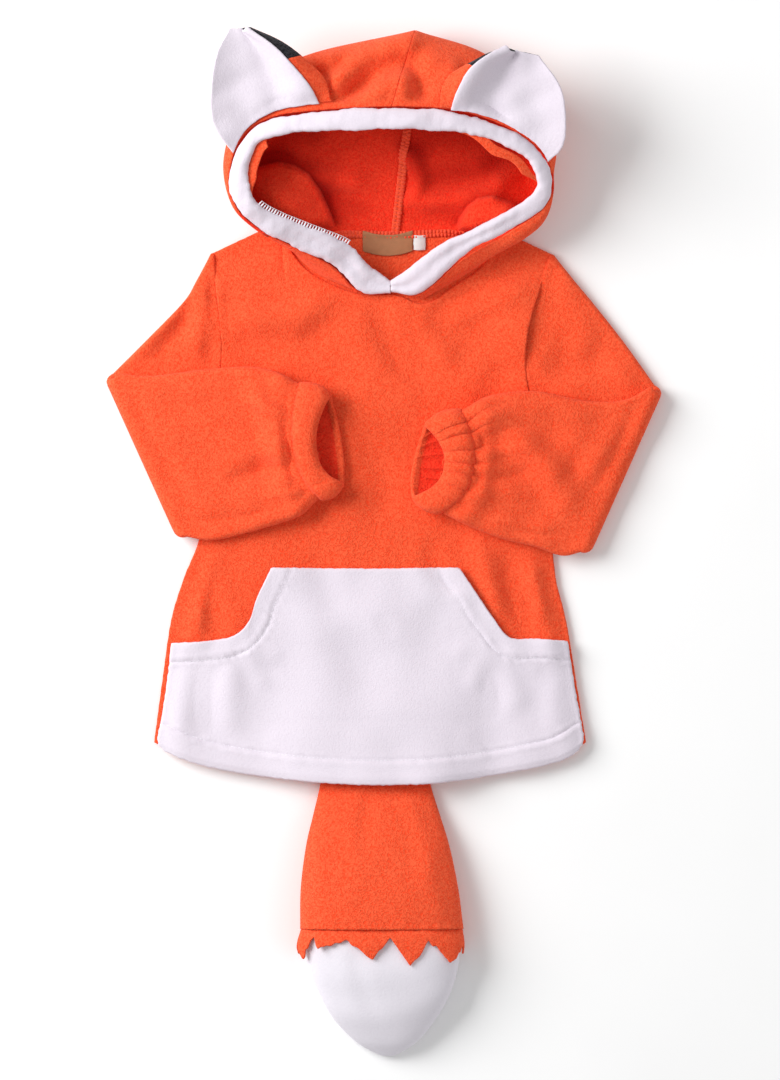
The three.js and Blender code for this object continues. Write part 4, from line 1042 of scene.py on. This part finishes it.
def sleeve(upper_arm, forearm, armhole, outwards, upper_creases, forearm_creases, seed, gather_depth):
    upper = tube_sections(upper_arm, spaced(UPPER_STEPS), 1)
    fold = fold_sections(upper_arm[-1], outwards, FOLD_STEPS)
    lower = tube_sections(forearm, spaced(FOREARM_STEPS), -1)
    middles = np.array([(over + under) / 2 for over, under, *_ in upper + fold + lower])
    steps_long = np.linalg.norm(np.diff(middles, axis=0), axis=1)
    placed = np.concatenate([[0], np.cumsum(steps_long)])
    elbow_from, elbow_to = placed[UPPER_STEPS], placed[UPPER_STEPS + FOLD_STEPS]
    turned = (placed - elbow_from) / (elbow_to - elbow_from)
    over_gap = np.where(
        turned < 0.5, CORNER_OVER * (1 - 2 * np.clip(turned, 0, 0.5)), np.maximum(placed - elbow_to, 0)
    )
    under_gap = np.where(
        turned > 0.5, CORNER_UNDER * (2 * np.clip(turned, 0.5, 1) - 1), np.maximum(elbow_from - placed, 0)
    )
    sections = [rounded_corners(*each) for each in zip(upper + fold + lower, over_gap, under_gap)]
    head = turned_in((*upper[0], unit(middles[1] - middles[0])), -1)[::-1]
    wrist = turned_in((*lower[-1], unit(middles[-1] - middles[-2])), 1)
    placed = np.concatenate([[0] * ALLOWANCE_STEPS, placed, [placed[-1]] * ALLOWANCE_STEPS])
    top, pit = np.array(armhole[-1]), np.array(armhole[0])
    rings = []
    for section, along_arm in zip(head + sections + wrist, placed):
        ring = tube_ring(*section, TURN)
        over, under = section[0], section[1]
        t = np.clip((ring[:, 1] - under[1]) / (over[1] - under[1]), 0, 1)
        bow = along(armhole, t)[:, 0] - lerp(pit[0], top[0], t)
        ring[:, 0] += bow * max(0, 1 - along_arm / ARMHOLE_REACH)
        rings.append(ring)
    grid = np.array(rings)
    out = directions(grid, ring=True)
    placed = placed[:, None]
    ends = smooth(placed / 14) * smooth((placed[-1] - placed) / 6)
    facing_up = smooth((np.abs(out[..., 2]) - 0.35) / 0.4)
    forearm_share = smooth((placed - elbow_to) / 18)
    middle = (grid.max(1, keepdims=True) + grid.min(1, keepdims=True))[..., 2] / 2
    above = smooth((grid[..., 2] - middle) / 3 + 0.5)
    x, y = grid[..., 0], grid[..., 1]
    lift = forearm_share * creases(x, y, forearm_creases) + (1 - forearm_share) * creases(x, y, upper_creases)
    waves = 0.7 * slow_waves(grid[..., :2], 48, seed)
    grid[..., 2] += (lift + waves) * facing_up * ends * above
    sign = np.sign((out * (grid - grid.mean(1, keepdims=True))).sum())
    before_cuff = placed[-1] - placed
    grid[..., 2] += PUFFED * bell((before_cuff - PUFFED_AT) / PUFFED_LONG) * facing_up * above
    fade = np.exp(-((before_cuff / GATHER_REACH) ** 1.5)) * smooth((placed - elbow_to) / 40)
    grid += sign * out * (gather_depth * fade * gather_wave(TURN)[None, :])[..., None]
    return grid, int(sign > 0)


for side, name, rows, armhole, folds, depth in (
    (-1, "sleeve_right", (UPPER_ARM_RIGHT, FOREARM_RIGHT), ARMHOLE_RIGHT,
     (UPPER_CREASES_RIGHT, FOREARM_CREASES_RIGHT), 0.3),
    (1, "sleeve_left", (UPPER_ARM_LEFT, FOREARM_LEFT), ARMHOLE_LEFT,
     (UPPER_CREASES_LEFT, FOREARM_CREASES_LEFT), 1.3),
):
    grid, inner = sleeve(*rows, armhole, side, *folds, 31 + side, depth)
    # the tube's inner face gets full painted shade, a deeper red
    add_sheet(name, grid, 0.36, "folded", "front_cloth", ring=True, inner=inner)

# %% [markdown]
# A cuff is a casing turned over elastic, so the cloth stands in gathers all round the wrist. The rule is
# the same for both: waves round the turn, uneven by a slow drift, deep at the sleeve and shallow at the
# mouth, over a casing that is fullest in its middle. A geometry tree lays them on a plain tube, with
# their number and depth as named inputs.

# %% Gathered cuffs
def gathers(tree, given):
    turn, down, full, ribs = (mark(tree, name) for name in ("turn", "down", "full", "ribs"))
    wander = given["Drift"] * ((turn * (6 * math.pi)).cos() + (turn * (10 * math.pi) + 2.0).cos())
    phase = turn * math.pi * given["Gathers"] + wander
    wave = phase.cos().size() ** 0.6 * 2.0 - 1.4 + (wander * 3.0).cos() * 0.25
    roll = down * (1.0 - down) * 4.0
    height = wave * given["Depth"] * (1.2 - down * 0.8) * ribs + roll**0.6 * given["Fullness"] * full
    offset = scaled(tree, mark(tree, "way", "FLOAT_VECTOR"), height)
    return node(tree, "GeometryNodeSetPosition", {"Geometry": given["Geometry"], "Offset": offset})


GATHERED = shape_tree(
    "gathers",
    {"Gathers": "Float", "Depth": "Float", "Drift": "Float", "Fullness": "Float", "Cloth": "Material"}, gathers,
)
CUFF_TURN = np.arange(420) / 420
CASING = 4.6  # two layers of fleece with the elastic between them
UNDER_RIBS = 1.1  # how deep the gathers are in the cuff's lower layer
LIP = 1.5  # how far the lower edge of a cuff's mouth rolls up
FULLNESS = 2.6  # how far a casing swells between its two seams
for name, rows, depth in (("cuff_right", CUFF_RIGHT, 0.6), ("cuff_left", CUFF_LEFT, 1.7)):
    shares = spaced(24)
    sections = tube_sections(rows, shares, -1)
    inner, outer = (
        np.array([tube_ring(*s[:3], s[3] + more, s[4], CUFF_TURN) for s in sections]) for more in (0, 2)
    )
    way = unit(outer - inner)
    down = np.broadcast_to(shares[:, None], inner.shape[:2])
    upper = smooth((way[..., 2] + 0.7) / 0.9)
    marks = {
        "turn": np.broadcast_to(CUFF_TURN, inner.shape[:2]), "down": down, "way": way,
        "full": 0.2 + 0.8 * upper, "ribs": lerp(UNDER_RIBS / depth, 1, upper),
    }
    outwards = (directions(inner, ring=True) * way).sum() > 0
    inner[..., 2] += LIP * smooth((down - 0.72) / 0.28) * smooth(-way[..., 2] / 0.6)
    # painted shade inside the cuff: a deeper red everywhere but the last few millimetres at the mouth
    shaded = smooth((0.86 - down) / 0.1)
    holder = cloth(
        name + "_plain", inner, CASING, ring=True, marks=marks, inner=int(outwards), shaded=shaded, fuzz=0
    )
    values = {
        "Gathers": float(GATHERS), "Depth": depth * MM, "Drift": GATHER_DRIFT, "Fullness": FULLNESS * MM,
        "Cloth": orange,
    }
    piece = fit(by_nodes(holder, name + "_cloth", GATHERED, values), name, "fleece_orange")
    area_of(inner, True)

# %% [markdown]
# The white band round the face is plush folded double over the hood's edge. It stands up from the neck
# point, round the crown and back, and its cloth is soft enough to sag between the places that hold it.

# %% Face band
# Each row: a place on the band's outer edge and the one across from it on its inner edge.
BAND = np.array([
    (6.3, 213.3, 13.5, 6.2, 221.2, 15), (-20, 214, 15, -10, 234, 19), (-43, 236, 23, -29, 253, 28),
    (-80, 253.5, 34, -62, 267, 38), (-104, 265.5, 42, -90, 278, 46), (-123, 283, 48, -108, 290, 53),
    (-129.5, 308, 51, -115, 311, 57), (-119, 341, 57, -106, 335.5, 62), (-94.5, 358, 62, -88, 343.5, 66),
    (-53.5, 364, 67, -50, 347.5, 70), (7.5, 367, 70, 6, 349, 73), (61, 364, 67, 57, 346.5, 70),
    (103.5, 350.5, 62, 97, 338, 66), (133, 330, 57, 120, 325.5, 62), (142.5, 307, 51, 130.5, 307, 57),
    (136, 285, 45, 124, 292, 50), (104, 263, 39, 95, 275.5, 44), (68, 243, 30, 54, 256, 35),
    (32, 213, 16, 18, 229.5, 20), (7.0, 214.3, 13.5, 6.6, 221.5, 15),
], float)


def band_section(t):
    """The band's outer and inner edge at places along it, the way between them, and the way it puffs up."""
    row = along(BAND, t)
    outer, inner = row[..., :3], row[..., 3:]
    a, b = along(BAND, np.maximum(t - 0.01, 0)), along(BAND, np.minimum(t + 0.01, 1))
    way = unit(b[..., :3] - a[..., :3])
    across = inner - outer
    return outer, inner, across, turned_up(unit(np.cross(way, across)))


def band_rings(length_steps, ring_steps):
    t = spaced(length_steps)
    outer, inner, across, raised = band_section(t)
    a = (2 * math.pi * np.arange(ring_steps) / ring_steps)[None, :, None]
    c, s = np.cos(a), np.sin(a)
    sideways = 0.5 * boxed(c, 0.85)
    upwards = BAND_PUFF / 2 * boxed(s, 0.85)
    grid = ((outer + inner) / 2)[:, None] + across[:, None] * sideways + raised[:, None] * upwards
    stray = 0.9 * slow_waves(inner, 30, 43) + 0.3 * slow_waves(inner, 5, 44)
    grid += unit(across)[:, None] * stray[:, None, None] * c
    arms = smooth((np.abs(t - 0.5) - 0.3) / 0.08)[:, None]
    top = np.maximum(s[..., 0], 0)
    hollow = -1.1 * arms * bell(c[..., 0] / 0.3) * top
    uneven = 0.8 * slow_waves(grid, 30, 41) + 0.2 * slow_waves(grid, 11, 42)
    return grid + raised[:, None] * (hollow + uneven * top)[..., None]


band_grid = band_rings(420, 40)
hood_band = fit(filled("hood_band_cloth", band_grid), "hood_band", "plush_white", white)
area_of(band_grid, True) / 2

# %% [markdown]
# Inside the hood's right edge the band's raw edge shows, overlocked in white. Overlocking wraps the
# edge with loops across it, two or three millimetres apart.

# %% Overlocked edge of the band
BAND_EDGE = np.linspace(0.108, 0.252, 70)  # the part of the band whose edge lies open
outer, inner, across, raised = band_section(BAND_EDGE)
for name, inwards, rise, pitch, size, seed, unevenness in (
    ("band_overlock", 1.2, 0.4, 2.5, (1.4, 5.0, 1.6), 7, 0.18),
    ("band_overlock_edge", 3.6, -0.4, 2.1, (2.3, 0.8, 0.8), 8, 0.12),
):
    line = inner + unit(across) * inwards + raised * rise
    stitches(name, line, raised, pitch, size, thread_white, seed, unevenness, "plush_white")

# %% [markdown]
# The hood is two halves joined over the crown. Each is drawn as ribs: from the band, out over the
# widest point, down to its foot and back in to the neck seam. The halves share one grid, so that their
# seam runs true.

# %% Pattern of the hood
# Each row: where on the band a rib starts, its widest place, how high its foot and its inside lie, and
# where it ends at the neck.
HOOD_RIGHT = np.array([
    (1, -21.5, 213.2, 12.8, 11, 9.4, -20.5, 214.6, 7.9), (2.2, -51, 233, 18, 13, 9.8, -55, 229, 7.7),
    (3.2, -81, 251, 24, 15, 10, -75, 249, 7.7), (4.2, -107, 267, 31, 20, 15, -84, 278, 4.8),
    (5.2, -127, 287, 34, 4, 16, -70, 268, 1.2), (6.3, -134, 325, 37, 1.2, 17, -50, 263, 1.2),
    (7.5, -118, 366, 37, 1.2, 6, -30, 262, 1.2), (8.7, -74, 408, 36, 1.2, 1.2, -10, 261.5, 1.2),
    (10, 27, 433, 35, 1.2, 1.2, 7, 261, 1.2),
], float)
HOOD_LEFT = np.array([
    (18.2, 31, 210.5, 12.8, 11, 9.4, 33, 207.5, 7.7), (17.2, 60, 227, 19, 14, 9.8, 61, 223, 7.7),
    (16.4, 92, 244, 24, 15, 10, 85, 240.5, 7.7), (15.6, 120, 259, 29, 19, 14, 98.5, 270, 4.8),
    (14.8, 138, 277, 31, 4, 14, 84, 266.5, 1.2), (13.8, 143, 308, 35, 1.2, 14, 62, 264, 1.2),
    (12.7, 142, 352, 37, 1.2, 5, 42, 262.5, 1.2), (11.3, 92, 409, 36, 1.2, 1.2, 24, 261.5, 1.2),
    (10, 27, 433, 35, 1.2, 1.2, 7, 261, 1.2),
], float)
TUCK = 14  # how far in from its side the hood turns under
HALF_RIBS, RIB_STEPS = 170, 120


def through(points, count):
    """A smooth curve through a few places, eased by the distances between them."""
    points = np.asarray(points, float)
    ends = np.vstack([2 * points[0] - points[1], points, 2 * points[-1] - points[-2]])
    place = spaced(count) * (len(points) - 1)
    k = np.minimum(place.astype(int), len(points) - 2)
    f = (place - k)[:, None]
    p0, p1, p2, p3 = (ends[k + i] for i in range(4))
    pairs = ((p0, p1), (p1, p2), (p2, p3))
    d0, d1, d2 = (np.maximum(np.linalg.norm(b - a, axis=1, keepdims=True) ** 0.5, 1e-4) for a, b in pairs)
    m1 = ((p1 - p0) / d0 - (p2 - p0) / (d0 + d1) + (p2 - p1) / d1) * d1
    m2 = ((p2 - p1) / d1 - (p3 - p1) / (d1 + d2) + (p3 - p2) / d2) * d1
    return p1 + m1 * f + (3 * (p2 - p1) - 2 * m1 - m2) * f**2 + (2 * (p1 - p2) + m1 + m2) * f**3


def hood_rib(row, count=RIB_STEPS):
    rim, sx, sy, sz, foot, inside, nx, ny, nz = row
    outer, _, across, _ = band_section(np.array(rim / (len(BAND) - 1)))
    start = outer - unit(across) * (CLOTH / 2 + SEAM)
    side, neck = np.array([sx, sy, sz]), np.array([nx, ny, nz])
    inwards = (neck - side) * [1, 1, 0]
    tuck = min(TUCK, np.linalg.norm(inwards) / 2)
    foot_place = side + unit(inwards) * tuck
    foot_place[2] = foot
    halfway = lerp(foot_place, neck, 0.45)
    halfway[2] = inside
    rib = through([start, side, foot_place, halfway, neck], count)
    rib[:, 2] = np.maximum(rib[:, 2], ON_SURFACE)
    return rib


right, left = ([hood_rib(along(rows, t)) for t in spaced(HALF_RIBS)] for rows in (HOOD_RIGHT, HOOD_LEFT))
hood = np.array(right + left[-2::-1])
print("hood grid", hood.shape, "highest", round(float(hood[..., 2].max()), 1))

# %% [markdown]
# Behind the opening the hood's lower layer has slumped into folds: a long slanting one and a lobe at
# the right, a soft roll at the left, and hollows beside the centre seam. The outside keeps shallow drag
# lines from the ears and the band.

# %% Hood halves
LOBE_RIGHT = [
    (-118, 316), (-98.6, 320.5), (-88.4, 322.8), (-76.5, 320), (-64.6, 313.2), (-54.4, 299.6), (-47.6, 284.3),
    (-42.5, 270.7), (-34, 257),
]
LOBE_LEFT = [(61, 258), (63, 265), (66.3, 275.8), (73, 286), (81.6, 292), (93.5, 293.7), (109, 288), (124, 280)]
INNER_FOLDS = [
    (-92, 334, -22, 304, 4, 12, 8.0), (-40, 302, -6, 284, 3, 9, -3.0), (-98, 306, -66, 288, 4, 10, 2.6),
    (-84, 296, -52, 270, -3, 9, -1.8), (16, 334, 30, 298, -6, 8, 6.0), (24, 292, 104, 303, 6, 10, 7.5),
    (14, 274, 60, 282, 3, 9, -1.8), (96, 306, 122, 320, -4, 8, 3.0), (84, 280, 66, 266, 3, 7, 1.6),
    (-20, 340, -22, 300, 2, 10, 2.2), (104, 336, 78, 322, 3, 8, 2.6), (-84, 344, -50, 338, 3, 10, 2.6),
    (-8, 300, -14, 270, 2, 6, 1.3), (-100, 280, -64, 262, 2, 7, 1.4), (92, 272, 108, 284, 2, 6, 1.3),
]
# Lines where painted shade is put on the inside, in the shade of a fold, each with how far the shade reaches and
# how deep it is.
SHADES = [
    ((-112, 326, -96, 330, -80, 329), 6, 0.4),
    ((28, 330, 36, 312, 58, 314, 92, 320), 12, 0.6), ((26, 342, 70, 344, 112, 330), 16, 0.5),
    ((-112, 330, -96, 342, -60, 350), 12, 0.5),
    ((16, 276, 56, 278), 9, 0.3), ((-48, 300, -20, 284), 10, 0.35),
]
OUTER_FOLDS = [
    (-39, 367, 15, 406, -4, 9, -7.5), (-48, 384, 18, 427, -4, 10, 7.5), (-62, 404, -34, 415, 2, 8, 5.0),
    (-56, 399, -32, 408, 2, 7, -4.6), (-44, 373, -64, 410, 3, 7, -5.0), (27, 413, 38, 368, 4, 9, -6.4),
    (44, 372, 62, 404, 4, 11, 5.4), (-14, 368, 2, 398, 3, 9, 4.4), (12, 370, 20, 396, 2, 8, 4.4),
    (-98, 362, -112, 344, 2, 8, -2.2), (112, 368, 130, 346, 2, 8, -2.2), (52, 374, 70, 396, 3, 8, -3.2),
    (-78, 374, -58, 392, 2, 7, -2.2), (20, 424, 46, 404, 3, 9, 3.0), (-20, 398, -4, 420, 2, 8, -2.6),
]
PUFF = 4.2  # how far the hood swells beyond the band


def lobe(line, x, y, high):
    """Slumped cloth with a full edge along a line, falling away behind it."""
    d = line_distance(line, x, y)[1]
    full = smooth((d + 1.5) / 4.5) * 0.75 + 0.25 * smooth(d / 14)
    return high * full * bell(np.maximum(d - 12, 0) / 30)


share = spaced(RIB_STEPS)[None, :]
rib_place = (np.arange(len(hood)) / (2 * HALF_RIBS))[:, None]
back_of_hood = smooth((rib_place - 0.22) / 0.08) * smooth((0.78 - rib_place) / 0.08)
below = smooth((share - 0.52) / 0.12) * smooth((0.985 - share) / 0.06) * back_of_hood
sides = smooth((rib_place - 0.12) / 0.06) * smooth((0.88 - rib_place) / 0.06)
above = smooth(share / 0.05) * smooth((0.32 - share) / 0.12)
x, y = hood[..., 0], hood[..., 1]
folds = creases(x, y, INNER_FOLDS)
lobes = lobe(LOBE_RIGHT, x, y, 13) + lobe(LOBE_LEFT, x, y, 12)
room = np.maximum(hood[..., 2] - ON_SURFACE, 0)
hood[..., 2] += below * (np.maximum(folds, 0) + np.maximum(np.minimum(folds, 0), -room) + lobes)
swell = PUFF * np.sin(math.pi * np.clip(share / 0.26, 0, 1)) ** 0.8 * sides
hood[..., 2] += above * (creases(x, y, OUTER_FOLDS) + 0.6 * slow_waves(hood[..., :2], 40, 51)) + swell
hood[..., 2] = np.maximum(hood[..., 2], ON_SURFACE)
hood_out = directions(hood)
# painted light and shade inside the hood: 1 is the inner face's painted shade, more is painted shadow, less is
# painted light
hood_painted_light_and_shade = np.ones(hood.shape[:2])
for line, reach, deep in SHADES:
    places = along(np.reshape(line, (-1, 2)), spaced(24))
    hood_painted_light_and_shade += deep * bell(line_distance(places, x, y)[0] / reach) * below
# painted shadow just outside each lobe's edge, and painted light on the lobe itself
for line, reach, deep in ((LOBE_RIGHT, 11, 0.95), (LOBE_LEFT, 7, 0.6)):
    d = line_distance(line, x, y)[1]
    hood_painted_light_and_shade += deep * smooth((1.5 - d) / 3) * bell(np.minimum(d, 0) / reach) * below
    hood_painted_light_and_shade -= 0.16 * smooth(d / 6) * below
for side, name in ((-1, "hood_right"), (1, "hood_left")):
    part = slice(0, HALF_RIBS + 1) if side < 0 else slice(HALF_RIBS, 2 * HALF_RIBS + 1)
    grid = hood[part].copy()
    grid[-1 if side < 0 else 0, :, 0] += side * SEAM / 2
    add_sheet(name, grid, 0.36, "draped", "back_cloth", out=hood_out[part], inner=1, shaded=hood_painted_light_and_shade[part])

# %% [markdown]
# Inside, the seam over the crown ends in an overlocked ridge about 7 mm wide, pressed to one side, and
# the neck seam has another. Each is a padded strip with loops of thread across it.

# %% Overlocked seams inside the hood
def strip(name, line, across, ups, width, thick, points, power):
    """A rounded strip of fleece along a line on the garment."""
    angle = (2 * math.pi * np.arange(points) / points)[None, :, None]
    c, s = np.cos(angle), np.sin(angle)
    wide = across[:, None] * boxed(c, power) * width / 2
    tall = ups[:, None] * boxed(s, power) * thick / 2
    return fit(filled(name, line[:, None] + wide + tall), slot="fleece_orange", material=orange)


crown_steps = slice(int(RIB_STEPS * 0.42), RIB_STEPS + 1)
neck_ribs = slice(int(HALF_RIBS * 0.58), int(HALF_RIBS * 1.42))
for name, ribs, steps, faced, height, shift, width, thick, seed, pitch in (
    ("crown_seam_overlock", HALF_RIBS, crown_steps, crown_steps, 0.8, [3.0, 0, 0], 7.0, 2.4, 61, 3.3),
    ("neck_seam_overlock", neck_ribs, -1, -3, 0.7, [0, 0.8, 0], 6.4, 2.1, 71, 3.1),
):
    ups = turned_up(hood_out[ribs, faced])
    line = hood[ribs, steps] + ups * (CLOTH / 2 + height) + shift
    across = unit(np.cross(ups, unit(np.gradient(line, axis=0))))
    strip(name, line, across, ups, width, thick, 16, 0.7)
    for side, start, ending in ((-1, 0, "in"), (1, 2, "out")):
        row = (line + across * width * 0.24 * side + ups * thick * 0.3)[start:]
        size = (2.9, width * 0.62, 2.4)
        stitches(f"{name}_loops_{ending}", row, ups[start:], pitch, size, thread_orange, seed + side, 0.14)

# %% [markdown]
# Where the hood joins the front, both cloths turn in and their allowance lies behind the seam, so no
# light comes through it. Inside the rim the hood's own edge shows beyond the band as a narrow lip.

# %% Seam allowances
neck_edge = body_middle[-1, 30:-30]
way = unit(np.gradient(neck_edge, axis=0))
up = np.broadcast_to(np.array([0.0, 0, 1]), way.shape)
across = unit(np.cross(up, way))
strip("front_neck_allowance", neck_edge + across * 1.5 - [0, 0, 2.1], across, up, 12, 1.9, 20, 0.6)

for name, t0, t1, reach, drop in (("rim_lip_left", 0.59, 0.75, 7, 2.6), ("rim_lip_right", 0.27, 0.40, 3.2, 3.2)):
    t = np.linspace(t0, t1, 90)
    outer, inner, across, raised = band_section(t)
    fade = smooth((t - t0) / (t1 - t0) / 0.3) * smooth((t1 - t) / (t1 - t0) / 0.2)
    shift = (reach + 6) * fade - 6 + 0.4 * slow_waves(inner, 26, 91)
    line = inner + unit(across) * shift[:, None] - raised * drop
    strip(name, line, unit(across), raised, 9, 2.2, 20, 0.6)

# %% [markdown]
# Each ear is a cupped leaf: white plush inside, orange fleece outside with a black tip. It is sewn flat
# along its base to the hood and stands up and forward from there, cheek edge higher than crown edge.

# %% Ears
# Each row from base to tip: the crown edge, the cheek edge, how far each is lifted, and the cup between.
EARS = {
    "ear_right": dict(
        rows=[
            (-54, 373, -132, 334, 0, 0, 0), (-61, 387, -144, 354, 6, 9, 3), (-74, 403.5, -146, 383, 11, 17, 8),
            (-92, 421, -141, 413, 13, 21, 5), (-114.5, 434.3, -130, 433, 11, 20, 1),
        ],
        hood=HOOD_RIGHT, rims=(9.04, 6.6), side=-1, base_share=(0.03, 0.045), hollow=2.0, wraps=(0.14, 0.14),
    ),
    "ear_left": dict(
        rows=[
            (62, 377, 143, 322, 0, 0, 0), (64, 387, 153, 335, 6, 9, 4), (71, 399, 155, 359, 12, 17, 8),
            (85, 410, 150, 386, 12, 20, 7), (104, 417, 132, 411, 8, 18, 2),
        ],
        hood=HOOD_LEFT, rims=(10.88, 13.35), side=1, base_share=(0.004, 0.03), hollow=6.0, wraps=(0.15, 0.0),
    ),
}
EAR_ROWS, EAR_COLS = 56, 56
EAR_TIP = 4 / 7  # how far up the black tip starts
EAR_SEAT = (CLOTH + EAR_CLOTH) / 2 + 4 * SEAM
BASE_BEND = 0.4  # over how much of its height an ear bends up from its seam
WRAP = 0.14  # how much of its width goes round the crown edge


def ear_seat(hood_rows, rim, share):
    """The place on the hood where an ear is sewn: share runs from the band outwards."""
    t = np.linspace(0, 1, 400)
    rims = along(hood_rows, t)[:, 0]
    order = np.argsort(rims)
    return hood_rib(along(hood_rows, np.interp(rim, rims[order], t[order])), 500)[round(500 * share)]


def ear_grid(rows, hood, rims, side, base_share, hollow, wraps):
    seats = [ear_seat(hood, rim, share) for rim, share in zip(rims, base_share)]
    across = np.concatenate([np.linspace(-WRAP, 0, 6, endpoint=False), spaced(EAR_COLS)])

    def spread(up):
        """Places across the ear; those before the crown edge are wrapped round it."""
        wrap = lerp(*wraps, smooth(up / 0.8)) * (0.4 + 0.6 * smooth(up / 0.35))
        return np.where(across < 0, across / WRAP * wrap, across)

    def free(up):
        crown_x, crown_y, cheek_x, cheek_y, crown_lift, cheek_lift, cup = along(rows, up)
        inside, outwards = np.clip(across, 0, 1), spread(up)
        height = lerp(seats[0][2] + crown_lift, seats[1][2] + cheek_lift, inside)
        height = height - 4 * cup * inside * (1 - inside)
        lip = bell((across - 0.05) / 0.1) - 0.9 * bell((across - 0.3) / 0.13)
        height = height + hollow * lip * smooth(up / 0.2) - 5 * np.maximum(-across / WRAP, 0) ** 2
        return np.stack([lerp(crown_x, cheek_x, outwards), lerp(crown_y, cheek_y, outwards), height], -1)
    sewn = spread(0)
    base = np.array([ear_seat(hood, lerp(rims[0], rims[1], a), lerp(*base_share, a)) for a in sewn])
    grid = []
    for up in spaced(EAR_ROWS):
        p = free(up) + (base - free(0)) * (1 - smooth(up / BASE_BEND))
        p[:, 2] += EAR_SEAT + 0.5 * slow_waves(p[:, :2], 30, 95)
        grid.append(p)
    return np.array(grid)


for name, shape in EARS.items():
    grid = ear_grid(**shape)
    tip_row = round(EAR_ROWS * EAR_TIP)
    inner = (grid - shape["side"] * directions(grid) * (EAR_CLOTH + 2 * SEAM))[:, 7:]
    pieces = {
        "inner": (inner, white, "plush_white"),
        "outer": (grid[: tip_row + 1, :-2], orange, "fleece_orange"),
        "tip": (grid[tip_row:, :-2], black, "fleece_black"),
    }
    for part, (part_grid, finish, slot) in pieces.items():
        wide = float(np.linalg.norm(part_grid[0, 0] - part_grid[0, -1])) * MM
        seat = "hood_" + name.split("_")[1] + "_cloth"
        add_sheet(f"{name}_{part}", part_grid, wide, "hung", seat, slot, finish, thickness=EAR_CLOTH)

# %% [markdown]
# The label is a short woven tape sewn over the back neck seam, blank, and the size tab beside it is a
# folded satin tape, blank too. Both bow up a little between their stitched ends.

# %% Neck label and size tab
def tape(right, left, top, drop, sag, height):
    v, t = np.meshgrid(spaced(14), spaced(40), indexing="ij")
    bow = 4 * t * (1 - t)
    x, y = lerp(right, left, t), top - sag * bow - v * drop
    z = height + 0.8 * bow + 1.6 * smooth((y - 258) / 6) + 0.25 * slow_waves(np.stack([x, y], -1), 22, 81)
    return np.stack([x, y, z], -1)


for name, values, finish, slot in (
    ("label", (-17, 25, 265.5, 17, 4, 3.4), tape_brown, "tape_brown"),
    ("size_tab", (26.3, 36, 261.5, 12, 0.4, 3.4), tape_white, "tape_white"),
):
    grid = tape(*values)
    piece = fit(cloth(name + "_tape", grid, 0.8), name, slot, finish)
    area_of(grid)

# %% [markdown]
# A pale floor, and the soft light of a white studio: a bright surround, a large low light beyond the right
# shoulder so that the folds read, and a weak one from the other side.

# %% Floor and light
def area_light(name, place, size, power):
    lamp = bpy.data.lights.new(name, "AREA")
    lamp.shape, lamp.size, lamp.size_y, lamp.energy = "RECTANGLE", size, size, power
    light = linked(name, lamp)
    light.location = place
    light.rotation_mode = "QUATERNION"
    light.rotation_quaternion = Vector(np.array([0, 0.02, 0.02]) - place).to_track_quat("-Z", "Y")
    light.visible_camera = False


area_light("soft key light", (-1.95, 0.845, 1.45), 1.6, 82)
area_light("weak fill light", (1.8, -0.6, 1.4), 1.5, 8)

world = bpy.data.worlds.new("white surround")
bpy.context.scene.world = world
world.use_nodes = True
for key, value in (("Color", (1, 1, 1, 1)), ("Strength", 0.455)):
    world.node_tree.nodes["Background"].inputs[key].default_value = value

FLOOR, UNDER = 4, -0.0003  # half the floor's width, and how far it lies under the cloth, in metres
floor_mesh = bpy.data.meshes.new("floor")
corners = [(x * FLOOR, y * FLOOR, UNDER) for x, y in ((-1, -1), (1, -1), (1, 1), (-1, 1))]
floor_mesh.from_pydata(corners, [], [(0, 1, 2, 3)])
floor = linked("floor", floor_mesh)
paper = bpy.data.materials.new("pale paper")
paper.use_nodes = True
grain = node(paper.node_tree, "ShaderNodeTexNoise", {"Scale": 60.0, "Detail": 3.0})
tone = blend(paper.node_tree, grain, (0.93, 0.93, 0.93, 1), (0.97, 0.97, 0.97, 1))
floor_mesh.materials.append(dress(paper, {"Base Color": tone, "Roughness": 0.9}))
bpy.context.scene.view_settings.view_transform = "Standard"

# %% [markdown]
# The camera looks straight down from far away through a long lens, so the cloth is drawn almost in
# true plan.

# %% Camera
VIEW_HEIGHT = 0.918  # what the picture takes in from top to bottom, in metres
FAR = 8.0
camera_data = bpy.data.cameras.new("camera")
camera_data.sensor_width = 36
camera_data.lens = camera_data.sensor_width * FAR / VIEW_HEIGHT
camera_data.clip_end = 100
camera = linked("camera", camera_data)
camera.location = (0.00595, 0.0021, FAR + 0.02)
bpy.context.scene.camera = camera
print("lens", round(camera_data.lens), "mm")

# %% [markdown]
# The size of the dressed model, in triangles.

# %% Sizes
print("triangles", sum(len(p.data.polygons) for p in made) * 2)
